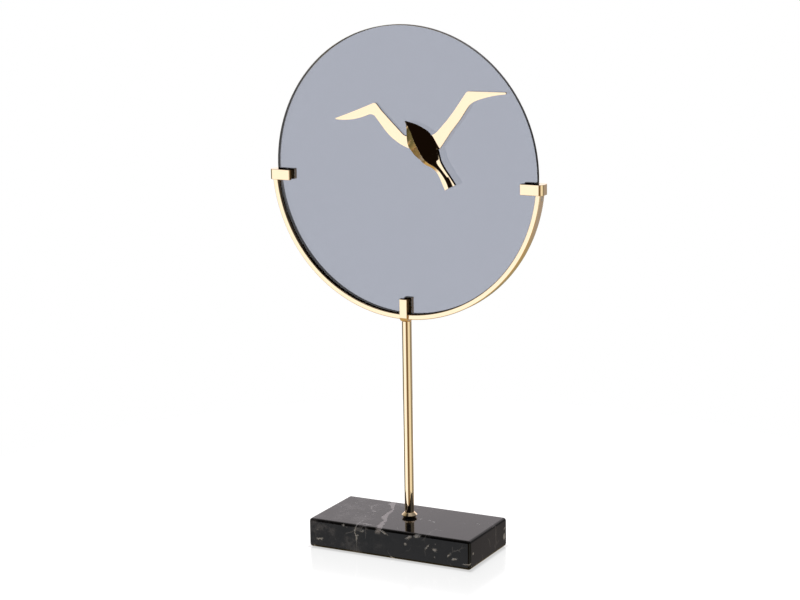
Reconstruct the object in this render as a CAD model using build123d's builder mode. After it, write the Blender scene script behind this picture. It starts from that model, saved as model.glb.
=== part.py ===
from build123d import *
import math
import os

os.makedirs("parts", exist_ok=True)

# A mantel clock: a smoked mirror disc held by three clips and a half ring on a thin pole
# over a stone slab. The two wings of a gilt bird are its hands, and the bird's body is the
# cap over the hand shaft. A battery movement sits behind the disc.
# Millimetres, +Z up, origin under the middle of the base. The face looks along -Y.

# Base slab, its pads and its bolt
base_width = 190.0
base_depth = 91.0
base_thickness = 31.3
base_edge = 3.2
pad_diameter = 16.0
pad_thickness = 2.0
pad_proud = 0.4
pad_inset = 16.0
bolt_diameter = 5.0
bolt_head_diameter = 8.5
bolt_head_height = 5.0
bolt_key = 4.0
bolt_arris = 0.5
bolt_length = 36.0
counterbore_diameter = 22.0
counterbore_depth = 9.0
washer_diameter = 18.0
washer_thickness = 1.6

# Pole, which stands a little behind the middle of the slab
pole_back = 4.4
pole_diameter = 10.0
pole_wall = 1.0
pole_length = 213.3
insert_length = 22.0
collar_diameter = 16.6
collar_height = 5.5
collar_foot = 1.6
collar_shoulder = 0.5

# Mirror disc, half ring and clips
disc_diameter = 300.0
disc_thickness = 5.0
disc_arris = 0.7
ring_gap = 0.5
ring_width = 5.4
ring_depth = 11.0
ring_edge = 0.8
ring_screw_diameter = 4.0
ring_screw_head = 7.6
ring_screw_length = 20.0
ring_screw_slot = 0.9
ring_screw_slot_depth = 1.0
clip_reach = 17.0
clip_depth = 16.0
clip_height = 11.0
clip_drop = 10.5
clip_over = 1.6
clip_corner = 5.0
bottom_clip_width = 8.5
liner_wall = 0.8
liner_base = 0.4
dowel_diameter = 2.5
dowel_length = 12.0

# Hand shaft: its place on the disc, and the pieces that pass through the glass
shaft_right = 25.0
shaft_up = 30.0
disc_hole = 9.0
bush_diameter = 8.0
bush_flange_diameter = 12.0
bush_flange = 0.8
seal_diameter = 34.0
seal_thickness = 1.0
dial_washer_diameter = 15.0
dial_washer_thickness = 0.4
nut_width = 11.0
nut_thickness = 1.2
pipe_diameter = 5.0
shaft_diameter = 3.0

# Hands
hand_gap = 1.0
hour_wing_thickness = 2.0
minute_wing_thickness = 2.0
wing_clearance = 0.6
nut_clearance = 0.3
hour_hub_diameter = 21.0
minute_hub_diameter = 19.0
body_screw_diameter = 1.6
body_screw_head = 3.0
body_screw_spread = 13.0
body_screw_depth = 3.0

# Movement case
case_size = 56.0
case_depth = 16.0
case_wall = 1.5
case_corner = 3.0
bay_height = 15.6
bay_wall = 1.2
battery_diameter = 14.5
battery_length = 49.3
battery_nub = 1.0
case_screw_diameter = 1.6
case_screw_head = 3.2
boss_radius = 2.2

# Fits
press_fit = 0.0
sliding_fit = 0.05
running_fit = 0.1
end_shake = 0.15
loose_fit = 0.3

# Gear train: (teeth, module), and the bearing of each arbor from the one before
cannon_teeth, setting_module = 10, 0.55
minute_wheel_teeth = 30
hour_wheel_teeth, motion_module = 40, 0.44
minute_pinion_teeth = 10
knob_teeth = 18
pinion_leaves = 8
centre_wheel_teeth, centre_module = 64, 0.28
third_wheel_teeth, third_module = 60, 0.26
seconds_wheel_teeth, seconds_module = 40, 0.30
step_wheel_teeth, step_module = 48, 0.22
minute_bearing = 143.0
knob_bearing = 140.0
third_bearing = 10.0
seconds_bearing = 70.0
step_bearing = 180.0
rotor_bearing = 160.0
pivot_radius = 0.5
pivot_length = 0.8
pivot_hole_depth = 1.1
arbor_radius = 0.7

# Heights and levels worked out from the sizes above
base_top = pad_proud + base_thickness
ring_inner = disc_diameter / 2 + ring_gap
ring_outer = ring_inner + ring_width
clip_outer = ring_outer + clip_over
pole_top = base_top + pole_length
disc_z = pole_top + clip_outer
shaft_x = shaft_right
shaft_z = disc_z + shaft_up
pole_bore = pole_diameter - 2 * pole_wall
glass_front = -disc_thickness / 2
glass_back = disc_thickness / 2
case_face = glass_back + seal_thickness
case_rear = case_face + case_depth
chamber_front = case_face + case_wall
chamber_rear = case_rear - case_wall
nut_front = glass_front - dial_washer_thickness - nut_thickness
hour_rear = glass_front - hand_gap
hour_front = hour_rear - hour_wing_thickness
minute_rear = hour_front - wing_clearance
minute_front = minute_rear - minute_wing_thickness
screw_head_cone = (body_screw_head - body_screw_diameter) / 2


def facing(y, x=0.0, z=0.0):
    """A plane that looks out of the clock's face, at a depth y behind the pole's axis."""
    return Plane(origin=(x, pole_back + y, z), x_dir=(1, 0, 0), z_dir=(0, -1, 0))


def level(height):
    """A level plane at a height, with its origin on the pole's axis."""
    return Plane(origin=(0, pole_back, height))


def across(x, y, z):
    """A plane that looks to the right, at a place given from the pole's axis."""
    return Plane(origin=(x, pole_back + y, z), x_dir=(0, 1, 0), z_dir=(1, 0, 0))


def save(piece, label):
    """Name a finished piece and write it."""
    piece.part.label = label
    export_step(piece.part, f"parts/{label}.step")


def beyond(centre, distance, bearing):
    """The point at a distance and a bearing, in degrees, from a centre."""
    angle = math.radians(bearing)
    return (centre[0] + distance * math.cos(angle), centre[1] + distance * math.sin(angle))


# ---------------------------------------------------------------- base and pole

slab_plane = Plane.XY.offset(pad_proud)
pad_places = GridLocations(base_width - 2 * pad_inset, base_depth - 2 * pad_inset, 2, 2)

with BuildPart() as base_slab:
    with BuildSketch(slab_plane):
        Rectangle(base_width, base_depth)
    extrude(amount=base_thickness)
    fillet(base_slab.edges(), base_edge)
    with BuildSketch(level(pad_proud)):
        Circle(counterbore_diameter / 2)
    extrude(amount=counterbore_depth, mode=Mode.SUBTRACT)
    with BuildSketch(slab_plane):
        with pad_places:
            Circle(pad_diameter / 2)
    extrude(amount=pad_thickness - pad_proud, mode=Mode.SUBTRACT)
    with BuildSketch(level(pad_proud)):
        Circle(bolt_diameter / 2 + loose_fit)
    extrude(amount=base_thickness, mode=Mode.SUBTRACT)
save(base_slab, "base_slab")

with BuildPart() as base_pads:
    with BuildSketch(Plane.XY):
        with pad_places:
            Circle(pad_diameter / 2 - sliding_fit)
    extrude(amount=pad_thickness)
save(base_pads, "base_pads")

washer_plane = level(pad_proud + counterbore_depth - washer_thickness)
with BuildPart() as base_washer:
    with BuildSketch(washer_plane):
        Circle(washer_diameter / 2)
        Circle(bolt_diameter / 2 + sliding_fit, mode=Mode.SUBTRACT)
    extrude(amount=washer_thickness)
save(base_washer, "base_washer")

with BuildPart() as base_bolt:
    with BuildSketch(washer_plane):
        Circle(bolt_head_diameter / 2)
    extrude(amount=-bolt_head_height)
    chamfer(base_bolt.edges().group_by(Axis.Z)[0], bolt_arris)
    with BuildSketch(washer_plane.offset(-bolt_head_height)):
        RegularPolygon(bolt_key / 2, 6, major_radius=False)
    extrude(amount=bolt_head_height / 2, mode=Mode.SUBTRACT)
    with BuildSketch(washer_plane):
        Circle(bolt_diameter / 2)
    extrude(amount=bolt_length)
    chamfer(base_bolt.edges().group_by(Axis.Z)[-1], bolt_arris)
save(base_bolt, "base_bolt")

with BuildPart() as pole_tube:
    with BuildSketch(level(base_top)):
        Circle(pole_diameter / 2)
        Circle(pole_bore / 2, mode=Mode.SUBTRACT)
    extrude(amount=pole_length)
save(pole_tube, "pole_tube")

with BuildPart() as pole_collar:
    collar_bore = pole_diameter / 2 + sliding_fit
    with BuildSketch(Plane(origin=(0, pole_back, base_top), x_dir=(1, 0, 0), z_dir=(0, -1, 0))):
        with BuildLine():
            Polyline((collar_bore, 0), (pole_diameter / 2 + collar_foot, 0),
                     (collar_diameter / 2, collar_height / 2),
                     (pole_diameter / 2 + collar_shoulder, collar_height), (collar_bore, collar_height),
                     close=True)
        make_face()
    revolve(axis=Axis((0, pole_back, 0), (0, 0, 1)))
save(pole_collar, "pole_collar")

with BuildPart() as pole_foot_insert:
    with BuildSketch(level(base_top)):
        Circle(pole_bore / 2)
        Circle(bolt_diameter / 2 + sliding_fit, mode=Mode.SUBTRACT)
    extrude(amount=insert_length)
save(pole_foot_insert, "pole_foot_insert")

with BuildPart() as pole_head_insert:
    with BuildSketch(level(pole_top)):
        Circle(pole_bore / 2)
        Circle(ring_screw_diameter / 2 + sliding_fit, mode=Mode.SUBTRACT)
    extrude(amount=-insert_length)
save(pole_head_insert, "pole_head_insert")

# ---------------------------------------------------------------- disc, ring and clips

clip_top = disc_z - clip_drop + clip_height / 2
clip_foot = clip_top - clip_height
ring_middle = ring_inner + ring_width / 2
screw_head_height = (ring_screw_head - ring_screw_diameter) / 2

with BuildPart() as mirror_disc:
    with BuildSketch(facing(glass_back, z=disc_z)):
        Circle(disc_diameter / 2)
    extrude(amount=disc_thickness)
    chamfer(mirror_disc.edges().filter_by(GeomType.CIRCLE), disc_arris)
    with BuildSketch(facing(glass_back, shaft_x, shaft_z)):
        Circle(disc_hole / 2)
    extrude(amount=disc_thickness, mode=Mode.SUBTRACT)
save(mirror_disc, "mirror_disc")

with BuildPart() as half_ring:
    with BuildSketch(facing(ring_depth / 2, z=disc_z)):
        Circle(ring_outer)
        Circle(ring_inner, mode=Mode.SUBTRACT)
        with Locations((0, clip_foot - disc_z)):
            Rectangle(3 * ring_outer, 3 * ring_outer, align=(Align.CENTER, Align.MIN), mode=Mode.SUBTRACT)
    extrude(amount=ring_depth)
    fillet(half_ring.edges().filter_by(GeomType.CIRCLE), ring_edge)
    with BuildSketch(level(disc_z - ring_outer)):
        Circle(ring_screw_diameter / 2 + sliding_fit)
    extrude(amount=ring_width, mode=Mode.SUBTRACT)
    with BuildSketch(level(disc_z - ring_inner - screw_head_height)):
        Circle(ring_screw_diameter / 2 + sliding_fit)
    with BuildSketch(level(disc_z - ring_inner)):
        Circle(ring_screw_head / 2 + sliding_fit)
    loft(mode=Mode.SUBTRACT)
    with BuildSketch(level(clip_foot)):
        with Locations((-ring_middle, 0), (ring_middle, 0)):
            Circle(dowel_diameter / 2)
    extrude(amount=-dowel_length / 2, mode=Mode.SUBTRACT)
save(half_ring, "half_ring")

with BuildPart() as clip_dowels:
    with BuildSketch(level(clip_foot - dowel_length / 2)):
        with Locations((-ring_middle, 0), (ring_middle, 0)):
            Circle(dowel_diameter / 2)
    extrude(amount=dowel_length)
save(clip_dowels, "clip_dowels")

jaw_tip = disc_diameter / 2 - clip_reach
slot_width = disc_thickness + 2 * liner_wall
side_plane = level(clip_foot)
bottom_plane = Plane(origin=(-bottom_clip_width / 2, pole_back, disc_z), x_dir=(0, 0, -1),
                     z_dir=(1, 0, 0))


def clip_section():
    """A clip's section: outwards along x from the disc's middle, across the glass along y."""
    with BuildSketch() as section:
        with Locations((jaw_tip, 0)):
            Rectangle(clip_outer - jaw_tip, clip_depth, align=(Align.MIN, Align.CENTER))
        fillet(section.vertices().group_by(Axis.X)[-1], clip_corner)
        with Locations((jaw_tip, 0)):
            Rectangle(ring_inner - jaw_tip, slot_width, align=(Align.MIN, Align.CENTER),
                      mode=Mode.SUBTRACT)
        fillet(section.vertices().group_by(Axis.X)[0], ring_edge)
    return section.sketch


def liner_section():
    """The soft channel that lines a clip's slot, in the same axes as the clip's section."""
    with BuildSketch() as section:
        with Locations((jaw_tip + liner_wall, 0)):
            Rectangle(disc_diameter / 2 + liner_base - jaw_tip - liner_wall, slot_width,
                      align=(Align.MIN, Align.CENTER))
        with Locations((jaw_tip, 0)):
            Rectangle(disc_diameter / 2 - jaw_tip, disc_thickness, align=(Align.MIN, Align.CENTER),
                      mode=Mode.SUBTRACT)
    return section.sketch


with BuildPart() as clip_right:
    with BuildSketch(side_plane):
        add(clip_section())
    extrude(amount=clip_height)
    with BuildSketch(level(clip_foot)):
        with Locations((ring_middle, 0)):
            Circle(dowel_diameter / 2)
    extrude(amount=dowel_length / 2, mode=Mode.SUBTRACT)
save(clip_right, "clip_right")

with BuildPart() as clip_left:
    mirror(clip_right.part, about=Plane.YZ)
save(clip_left, "clip_left")

with BuildPart() as clip_bottom:
    with BuildSketch(bottom_plane):
        add(clip_section())
    extrude(amount=bottom_clip_width)
    with BuildSketch(facing(ring_depth / 2 + sliding_fit, z=disc_z)):
        Circle(ring_outer + sliding_fit)
        Circle(ring_inner - sliding_fit, mode=Mode.SUBTRACT)
    extrude(amount=ring_depth + 2 * sliding_fit, mode=Mode.SUBTRACT)
    with BuildSketch(level(disc_z - clip_outer)):
        Circle(ring_screw_diameter / 2 + sliding_fit)
    extrude(amount=clip_over, mode=Mode.SUBTRACT)
save(clip_bottom, "clip_bottom")

with BuildPart() as clip_liners:
    with BuildSketch(side_plane):
        add(liner_section())
        mirror(liner_section(), about=Plane.YZ)
    extrude(amount=clip_height)
    with BuildSketch(bottom_plane):
        add(liner_section())
    extrude(amount=bottom_clip_width)
save(clip_liners, "clip_liners")

with BuildPart() as ring_screw:
    with BuildSketch(level(disc_z - ring_inner - screw_head_height)):
        Circle(ring_screw_diameter / 2)
    with BuildSketch(level(disc_z - ring_inner)):
        Circle(ring_screw_head / 2)
    loft()
    with BuildSketch(level(disc_z - ring_inner - screw_head_height)):
        Circle(ring_screw_diameter / 2)
    extrude(amount=-(ring_screw_length - screw_head_height))
    with BuildSketch(level(disc_z - ring_inner)):
        Rectangle(ring_screw_head, ring_screw_slot)
    extrude(amount=-ring_screw_slot_depth, mode=Mode.SUBTRACT)
save(ring_screw, "ring_screw")

# ---------------------------------------------------------------- the bird: two hands and a cap

# Outlines in millimetres from the hand shaft, right and up, with the hands at rest.
hour_elbow = (-57.1, 39.4)
hour_tip = (-102.4, 21.9)
minute_elbow = (50.6, 55.0)
minute_tip = (93.4, 55.4)
# The body along its own axis from beak to tail: distance from the beak, then left edge, ridge and
# right edge across the axis, then the heights of the three over the wing plate.
body_bearing = -51.3
body_beak = (-19.3, 22.7)
body_stations = [
    (0.0, -0.6, 0.0, 0.7, 0.8, 1.3, 0.8),
    (9.0, -4.8, 0.6, 7.6, 1.0, 4.8, 1.0),
    (23.0, -13.6, -1.2, 14.7, 1.0, 8.0, 1.0),
    (33.0, -13.5, -3.0, 15.2, 1.0, 8.4, 1.0),
    (44.0, -9.8, -4.2, 13.8, 1.6, 7.6, 1.2),
    (52.0, -5.6, -2.4, 9.4, 3.0, 6.7, 3.7),
    (62.0, -1.7, 2.0, 6.9, 4.5, 5.8, 4.4),
    (83.6, -5.9, -0.2, 6.0, 5.0, 5.3, 4.0),
]

with BuildPart() as hour_wing:
    with BuildSketch(facing(hour_rear, shaft_x, shaft_z)):
        with BuildLine():
            lead = ThreePointArc(hour_elbow, (-79.0, 30.6), hour_tip)
            trail = ThreePointArc(hour_tip, (-79.0, 22.0), (-58.0, 28.0))
            under = Polyline(trail @ 1, (-48.0, 17.2))
            root = ThreePointArc(under @ 1, (-35.0, 3.4), (-17.5, -5.2))
            Polyline(root @ 1, (-6.0, -7.0), (-6.0, 7.0), (-18.5, 6.8), (-26.0, 10.8), (-53.7, 39.0),
                     lead @ 0)
        make_face()
        Circle(hour_hub_diameter / 2)
    extrude(amount=hour_wing_thickness)
    with BuildSketch(facing(hour_rear, shaft_x, shaft_z)):
        Circle(dial_washer_diameter / 2 + 2 * loose_fit)
    extrude(amount=hour_rear - nut_front + nut_clearance, mode=Mode.SUBTRACT)
    with BuildSketch(facing(hour_rear, shaft_x, shaft_z)):
        Circle(pipe_diameter / 2 + press_fit)
    extrude(amount=hour_wing_thickness, mode=Mode.SUBTRACT)
save(hour_wing, "hour_wing")

body_axis_plane = facing(minute_front, shaft_x, shaft_z)
screw_places = [beyond((0.0, 0.0), body_screw_spread / 2, body_bearing + half) for half in (0, 180)]

with BuildPart() as minute_wing:
    with BuildSketch(facing(minute_rear, shaft_x, shaft_z)):
        with BuildLine():
            trail = ThreePointArc(minute_tip, (73.0, 50.2), (57.0, 44.2))
            Polyline(trail @ 1, (50.2, 37.6), (42.2, 26.2), (32.2, 14.0), (19.2, -4.2), (6.0, -7.0),
                     (4.0, 7.0), (11.2, 9.8), (16.6, 12.8), (28.2, 25.6), minute_elbow, trail @ 0)
        make_face()
        Circle(minute_hub_diameter / 2)
    extrude(amount=minute_wing_thickness)
    with BuildSketch(facing(minute_rear, shaft_x, shaft_z)):
        Circle(shaft_diameter / 2 + press_fit)
        with Locations(*screw_places):
            Circle(body_screw_diameter / 2 + sliding_fit)
    extrude(amount=minute_wing_thickness, mode=Mode.SUBTRACT)
    for place in screw_places:
        with BuildSketch(facing(minute_rear, shaft_x, shaft_z)):
            with Locations(place):
                Circle(body_screw_head / 2 + sliding_fit)
        with BuildSketch(facing(minute_rear - screw_head_cone, shaft_x, shaft_z)):
            with Locations(place):
                Circle(body_screw_diameter / 2 + sliding_fit)
        loft(mode=Mode.SUBTRACT)
save(minute_wing, "minute_wing")


def body_plane(distance):
    """The plane across the bird's body at a distance from the beak: left to right, then forwards."""
    angle = math.radians(body_bearing)
    along = Vector(math.cos(angle), 0, math.sin(angle))
    start = Vector(shaft_x + body_beak[0], pole_back + minute_front, shaft_z + body_beak[1])
    return Plane(origin=start + along * distance, x_dir=(-along.Z, 0, along.X), z_dir=along)


with BuildPart() as bird_body:
    for distance, left, ridge, right, left_up, ridge_up, right_up in body_stations:
        plane = body_plane(distance)
        forward = 1 if plane.y_dir.Y < 0 else -1
        with BuildSketch(plane):
            with BuildLine():
                Polyline((left, 0), (right, 0), (right, forward * right_up), (ridge, forward * ridge_up),
                         (left, forward * left_up), close=True)
            make_face()
    loft(ruled=True)
    with BuildSketch(body_axis_plane):
        with Locations(*screw_places):
            Circle(body_screw_diameter / 2)
    extrude(amount=body_screw_depth, mode=Mode.SUBTRACT)
save(bird_body, "bird_body")

with BuildPart() as body_screws:
    for place in screw_places:
        with BuildSketch(facing(minute_rear, shaft_x, shaft_z)):
            with Locations(place):
                Circle(body_screw_head / 2)
        with BuildSketch(facing(minute_rear - screw_head_cone, shaft_x, shaft_z)):
            with Locations(place):
                Circle(body_screw_diameter / 2)
        loft()
    with BuildSketch(facing(minute_rear, shaft_x, shaft_z)):
        with Locations(*screw_places):
            Circle(body_screw_diameter / 2)
    extrude(amount=minute_wing_thickness + body_screw_depth - loose_fit)
save(body_screws, "body_screws")

# ---------------------------------------------------------------- gears


def toothed_rim(teeth, module, turn=0.0):
    """The outline of a thin-toothed clock wheel, with one tooth pointing at the turn angle."""
    pitch_radius = teeth * module / 2
    half_tooth = 0.36 * math.pi * module / 2
    rim = []
    for index in range(teeth):
        middle = math.radians(turn + 360 * index / teeth)
        flank = [
            (pitch_radius - 1.15 * module, half_tooth * 1.25),
            (pitch_radius, half_tooth),
            (pitch_radius + 0.75 * module, half_tooth * 0.45),
        ]
        for radius, half_width in flank:
            angle = middle - half_width / radius
            rim.append((radius * math.cos(angle), radius * math.sin(angle)))
        for radius, half_width in reversed(flank):
            angle = middle + half_width / radius
            rim.append((radius * math.cos(angle), radius * math.sin(angle)))
    return rim


def mate_turn(turn, teeth, mate_teeth, bearing):
    """The turn of a mating wheel whose gap faces the tooth of the first, seen along a bearing."""
    return bearing + 180 - (turn - bearing) * teeth / mate_teeth + 180 / mate_teeth


def rim_of(teeth, module, turn, place, front, rear):
    """Add a toothed rim between two depths to the piece being built."""
    with BuildSketch(facing(rear, *place)) as rim:
        with BuildLine():
            Polyline(*toothed_rim(teeth, module, turn), close=True)
        make_face()
    extrude(rim.sketch, amount=rear - front)


def round_of(radius, place, front, rear, mode=Mode.ADD):
    """Add or cut a round between two depths of the piece being built."""
    with BuildSketch(facing(rear, *place)) as disc:
        Circle(radius)
    extrude(disc.sketch, amount=rear - front, mode=mode)


def arbor_with(place, front, rear, rims):
    """An arbor with a pivot at each end and its toothed rims, each (teeth, module, turn, front, rear)."""
    with BuildPart() as arbor:
        round_of(arbor_radius, place, front + end_shake, rear - end_shake)
        round_of(pivot_radius, place, front + end_shake - pivot_length, rear - end_shake + pivot_length)
        for teeth, module, turn, rim_front, rim_rear in rims:
            rim_of(teeth, module, turn, place, rim_front, rim_rear)
    return arbor


shaft_place = (shaft_x, shaft_z)
minute_place = beyond(shaft_place, (cannon_teeth + minute_wheel_teeth) * setting_module / 2,
                      minute_bearing)
knob_place = beyond(minute_place, (minute_wheel_teeth + knob_teeth) * setting_module / 2, knob_bearing)
third_place = beyond(shaft_place, (centre_wheel_teeth + pinion_leaves) * centre_module / 2, third_bearing)
seconds_place = beyond(third_place, (third_wheel_teeth + pinion_leaves) * third_module / 2,
                       seconds_bearing)
step_place = beyond(seconds_place, (seconds_wheel_teeth + pinion_leaves) * seconds_module / 2,
                    step_bearing)
rotor_place = beyond(step_place, (step_wheel_teeth + pinion_leaves) * step_module / 2, rotor_bearing)

# Depths of the wheels behind the front wall of the chamber: (front, rear)
hour_level = (chamber_front + 0.5, chamber_front + 1.5)
cannon_level = (chamber_front + 2.5, chamber_front + 4.4)
minute_level = (chamber_front + 3.0, chamber_front + 3.9)
third_pinion_level = (chamber_front + 5.0, chamber_front + 6.4)
centre_level = (chamber_front + 5.3, chamber_front + 6.0)
clutch_level = (chamber_front + 6.1, chamber_front + 6.5)
seconds_pinion_level = (chamber_front + 6.9, chamber_front + 8.1)
third_level = (chamber_front + 7.2, chamber_front + 7.8)
magnet_level = (chamber_front + 7.6, chamber_front + 9.8)
stator_level = (chamber_front + 8.3, chamber_front + 9.1)
core_level = (stator_level[1], stator_level[1] + 0.8)
step_pinion_level = (chamber_front + 9.4, chamber_front + 10.4)
seconds_level = (chamber_front + 9.6, chamber_front + 10.2)
rotor_pinion_level = (chamber_front + 10.6, chamber_front + 11.8)
step_level = (chamber_front + 10.9, chamber_front + 11.5)
board_level = (chamber_front + 7.4, chamber_front + 8.4)
boss_clearance = 0.4
magnet_radius = 2.5
clutch_radius = 2.8
clutch_scallop = 0.9
cannon_boss_radius = 1.8
centre_arbor_radius = 1.0
spoke_hole_radius = 2.0
spoke_hole_reach = 5.5
hour_boss_radius = 3.6
setting_shaft_radius = 1.5
knob_diameter = 12.0
knob_thickness = 3.5
knob_gap = 0.5
knob_flutes = 18
knob_flute_radius = 0.7
knob_flute_reach = knob_diameter / 2 + 0.25

# The hand shaft with its pinion: the cannon pinion that carries the minute wing
with BuildPart() as minute_shaft:
    round_of(shaft_diameter / 2, shaft_place, minute_front, cannon_level[0])
    rim_of(cannon_teeth, setting_module, 0.0, shaft_place, *cannon_level)
    round_of(cannon_boss_radius, shaft_place, cannon_level[1], centre_level[0] - sliding_fit)
    round_of(centre_arbor_radius, shaft_place, centre_level[0] - sliding_fit, chamber_rear - end_shake)
    round_of(pivot_radius, shaft_place, chamber_rear - end_shake, chamber_rear - end_shake + pivot_length)
save(minute_shaft, "minute_shaft")

with BuildPart() as clutch_spring:
    round_of(clutch_radius, shaft_place, *clutch_level)
    round_of(centre_arbor_radius, shaft_place, *clutch_level, mode=Mode.SUBTRACT)
    with BuildSketch(facing(clutch_level[1], *shaft_place)):
        with PolarLocations(clutch_radius, 3):
            Circle(clutch_scallop)
    extrude(amount=clutch_level[1] - clutch_level[0], mode=Mode.SUBTRACT)
save(clutch_spring, "clutch_spring")

with BuildPart() as hour_wheel:
    turn = mate_turn(0.0, minute_pinion_teeth, hour_wheel_teeth, minute_bearing + 180)
    rim_of(hour_wheel_teeth, motion_module, turn, shaft_place, *hour_level)
    round_of(hour_boss_radius, shaft_place, chamber_front + end_shake, hour_level[1])
    round_of(pipe_diameter / 2, shaft_place, hour_front, hour_level[1])
    round_of(shaft_diameter / 2 + running_fit, shaft_place, hour_front, hour_level[1], mode=Mode.SUBTRACT)
save(hour_wheel, "hour_wheel")

minute_turn = mate_turn(0.0, cannon_teeth, minute_wheel_teeth, minute_bearing)
minute_rear_bearing = minute_level[1] + boss_clearance
minute_wheel = arbor_with(minute_place, chamber_front, minute_rear_bearing, [
    (minute_wheel_teeth, setting_module, minute_turn, *minute_level),
    (minute_pinion_teeth, motion_module, 0.0, hour_level[0] - 0.2, minute_level[0]),
])
save(minute_wheel, "minute_wheel")

with BuildPart() as set_knob:
    turn = mate_turn(minute_turn, minute_wheel_teeth, knob_teeth, knob_bearing)
    rim_of(knob_teeth, setting_module, turn, knob_place, cannon_level[0], cannon_level[1])
    round_of(pivot_radius, knob_place, chamber_front + end_shake - pivot_length, cannon_level[0])
    round_of(setting_shaft_radius, knob_place, cannon_level[0], case_rear + knob_gap)
    round_of(knob_diameter / 2, knob_place, case_rear + knob_gap, case_rear + knob_gap + knob_thickness)
    with BuildSketch(facing(case_rear + knob_gap + knob_thickness, *knob_place)):
        with PolarLocations(knob_flute_reach, knob_flutes):
            Circle(knob_flute_radius)
    extrude(amount=knob_thickness, mode=Mode.SUBTRACT)
save(set_knob, "set_knob")

with BuildPart() as centre_wheel:
    rim_of(centre_wheel_teeth, centre_module, 0.0, shaft_place, *centre_level)
    round_of(centre_arbor_radius + sliding_fit, shaft_place, *centre_level, mode=Mode.SUBTRACT)
    with BuildSketch(facing(centre_level[1], *shaft_place)):
        with PolarLocations(spoke_hole_reach, 5):
            Circle(spoke_hole_radius)
    extrude(amount=centre_level[1] - centre_level[0], mode=Mode.SUBTRACT)
save(centre_wheel, "centre_wheel")

third_turn = mate_turn(0.0, centre_wheel_teeth, pinion_leaves, third_bearing)
third_wheel = arbor_with(third_place, chamber_front, chamber_rear, [
    (pinion_leaves, centre_module, third_turn, *third_pinion_level),
    (third_wheel_teeth, third_module, 0.0, *third_level),
])
save(third_wheel, "third_wheel")

seconds_turn = mate_turn(0.0, third_wheel_teeth, pinion_leaves, seconds_bearing)
seconds_wheel = arbor_with(seconds_place, chamber_front, chamber_rear, [
    (pinion_leaves, third_module, seconds_turn, *seconds_pinion_level),
    (seconds_wheel_teeth, seconds_module, 0.0, *seconds_level),
])
save(seconds_wheel, "seconds_wheel")

step_turn = mate_turn(0.0, seconds_wheel_teeth, pinion_leaves, step_bearing)
step_wheel = arbor_with(step_place, chamber_front, chamber_rear, [
    (pinion_leaves, seconds_module, step_turn, *step_pinion_level),
    (step_wheel_teeth, step_module, 0.0, *step_level),
])
save(step_wheel, "step_wheel")

rotor_turn = mate_turn(0.0, step_wheel_teeth, pinion_leaves, rotor_bearing)
rotor_arbor = arbor_with(rotor_place, chamber_front, chamber_rear, [
    (pinion_leaves, step_module, rotor_turn, *rotor_pinion_level),
])
with BuildPart() as rotor:
    add(rotor_arbor.part)
    round_of(magnet_radius, rotor_place, *magnet_level)
save(rotor, "rotor")

# ---------------------------------------------------------------- movement case

half_case = case_size / 2
bay_low = -half_case + bay_wall
bay_high = bay_low + bay_height
chamber_low = bay_high + bay_wall
chamber_high = half_case - case_wall
chamber_side = half_case - case_wall
chamber_middle = (chamber_low + chamber_high) / 2
boss_inset = 2.7
case_fillet = 1.0
minute_boss_radius = 1.2
contact_slot_length = 2.4
contact_slot_depth = 2.6
case_screw_slot = 0.5
case_screw_slot_length = 2.2
boss_places = [
    (-chamber_side + boss_inset, chamber_high - boss_inset),
    (chamber_side - boss_inset, chamber_high - boss_inset),
    (chamber_side - boss_inset, chamber_low + boss_inset),
]
board_posts = [(-24.0, -7.0), (-24.0, 5.0)]
core_ends = [(-11.0, 21.5), (11.0, 21.5)]
post_radius = 1.5
peg_radius = 0.8
peg_proud = 0.4
arbor_places = [minute_place, third_place, seconds_place, step_place, rotor_place, knob_place]

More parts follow.
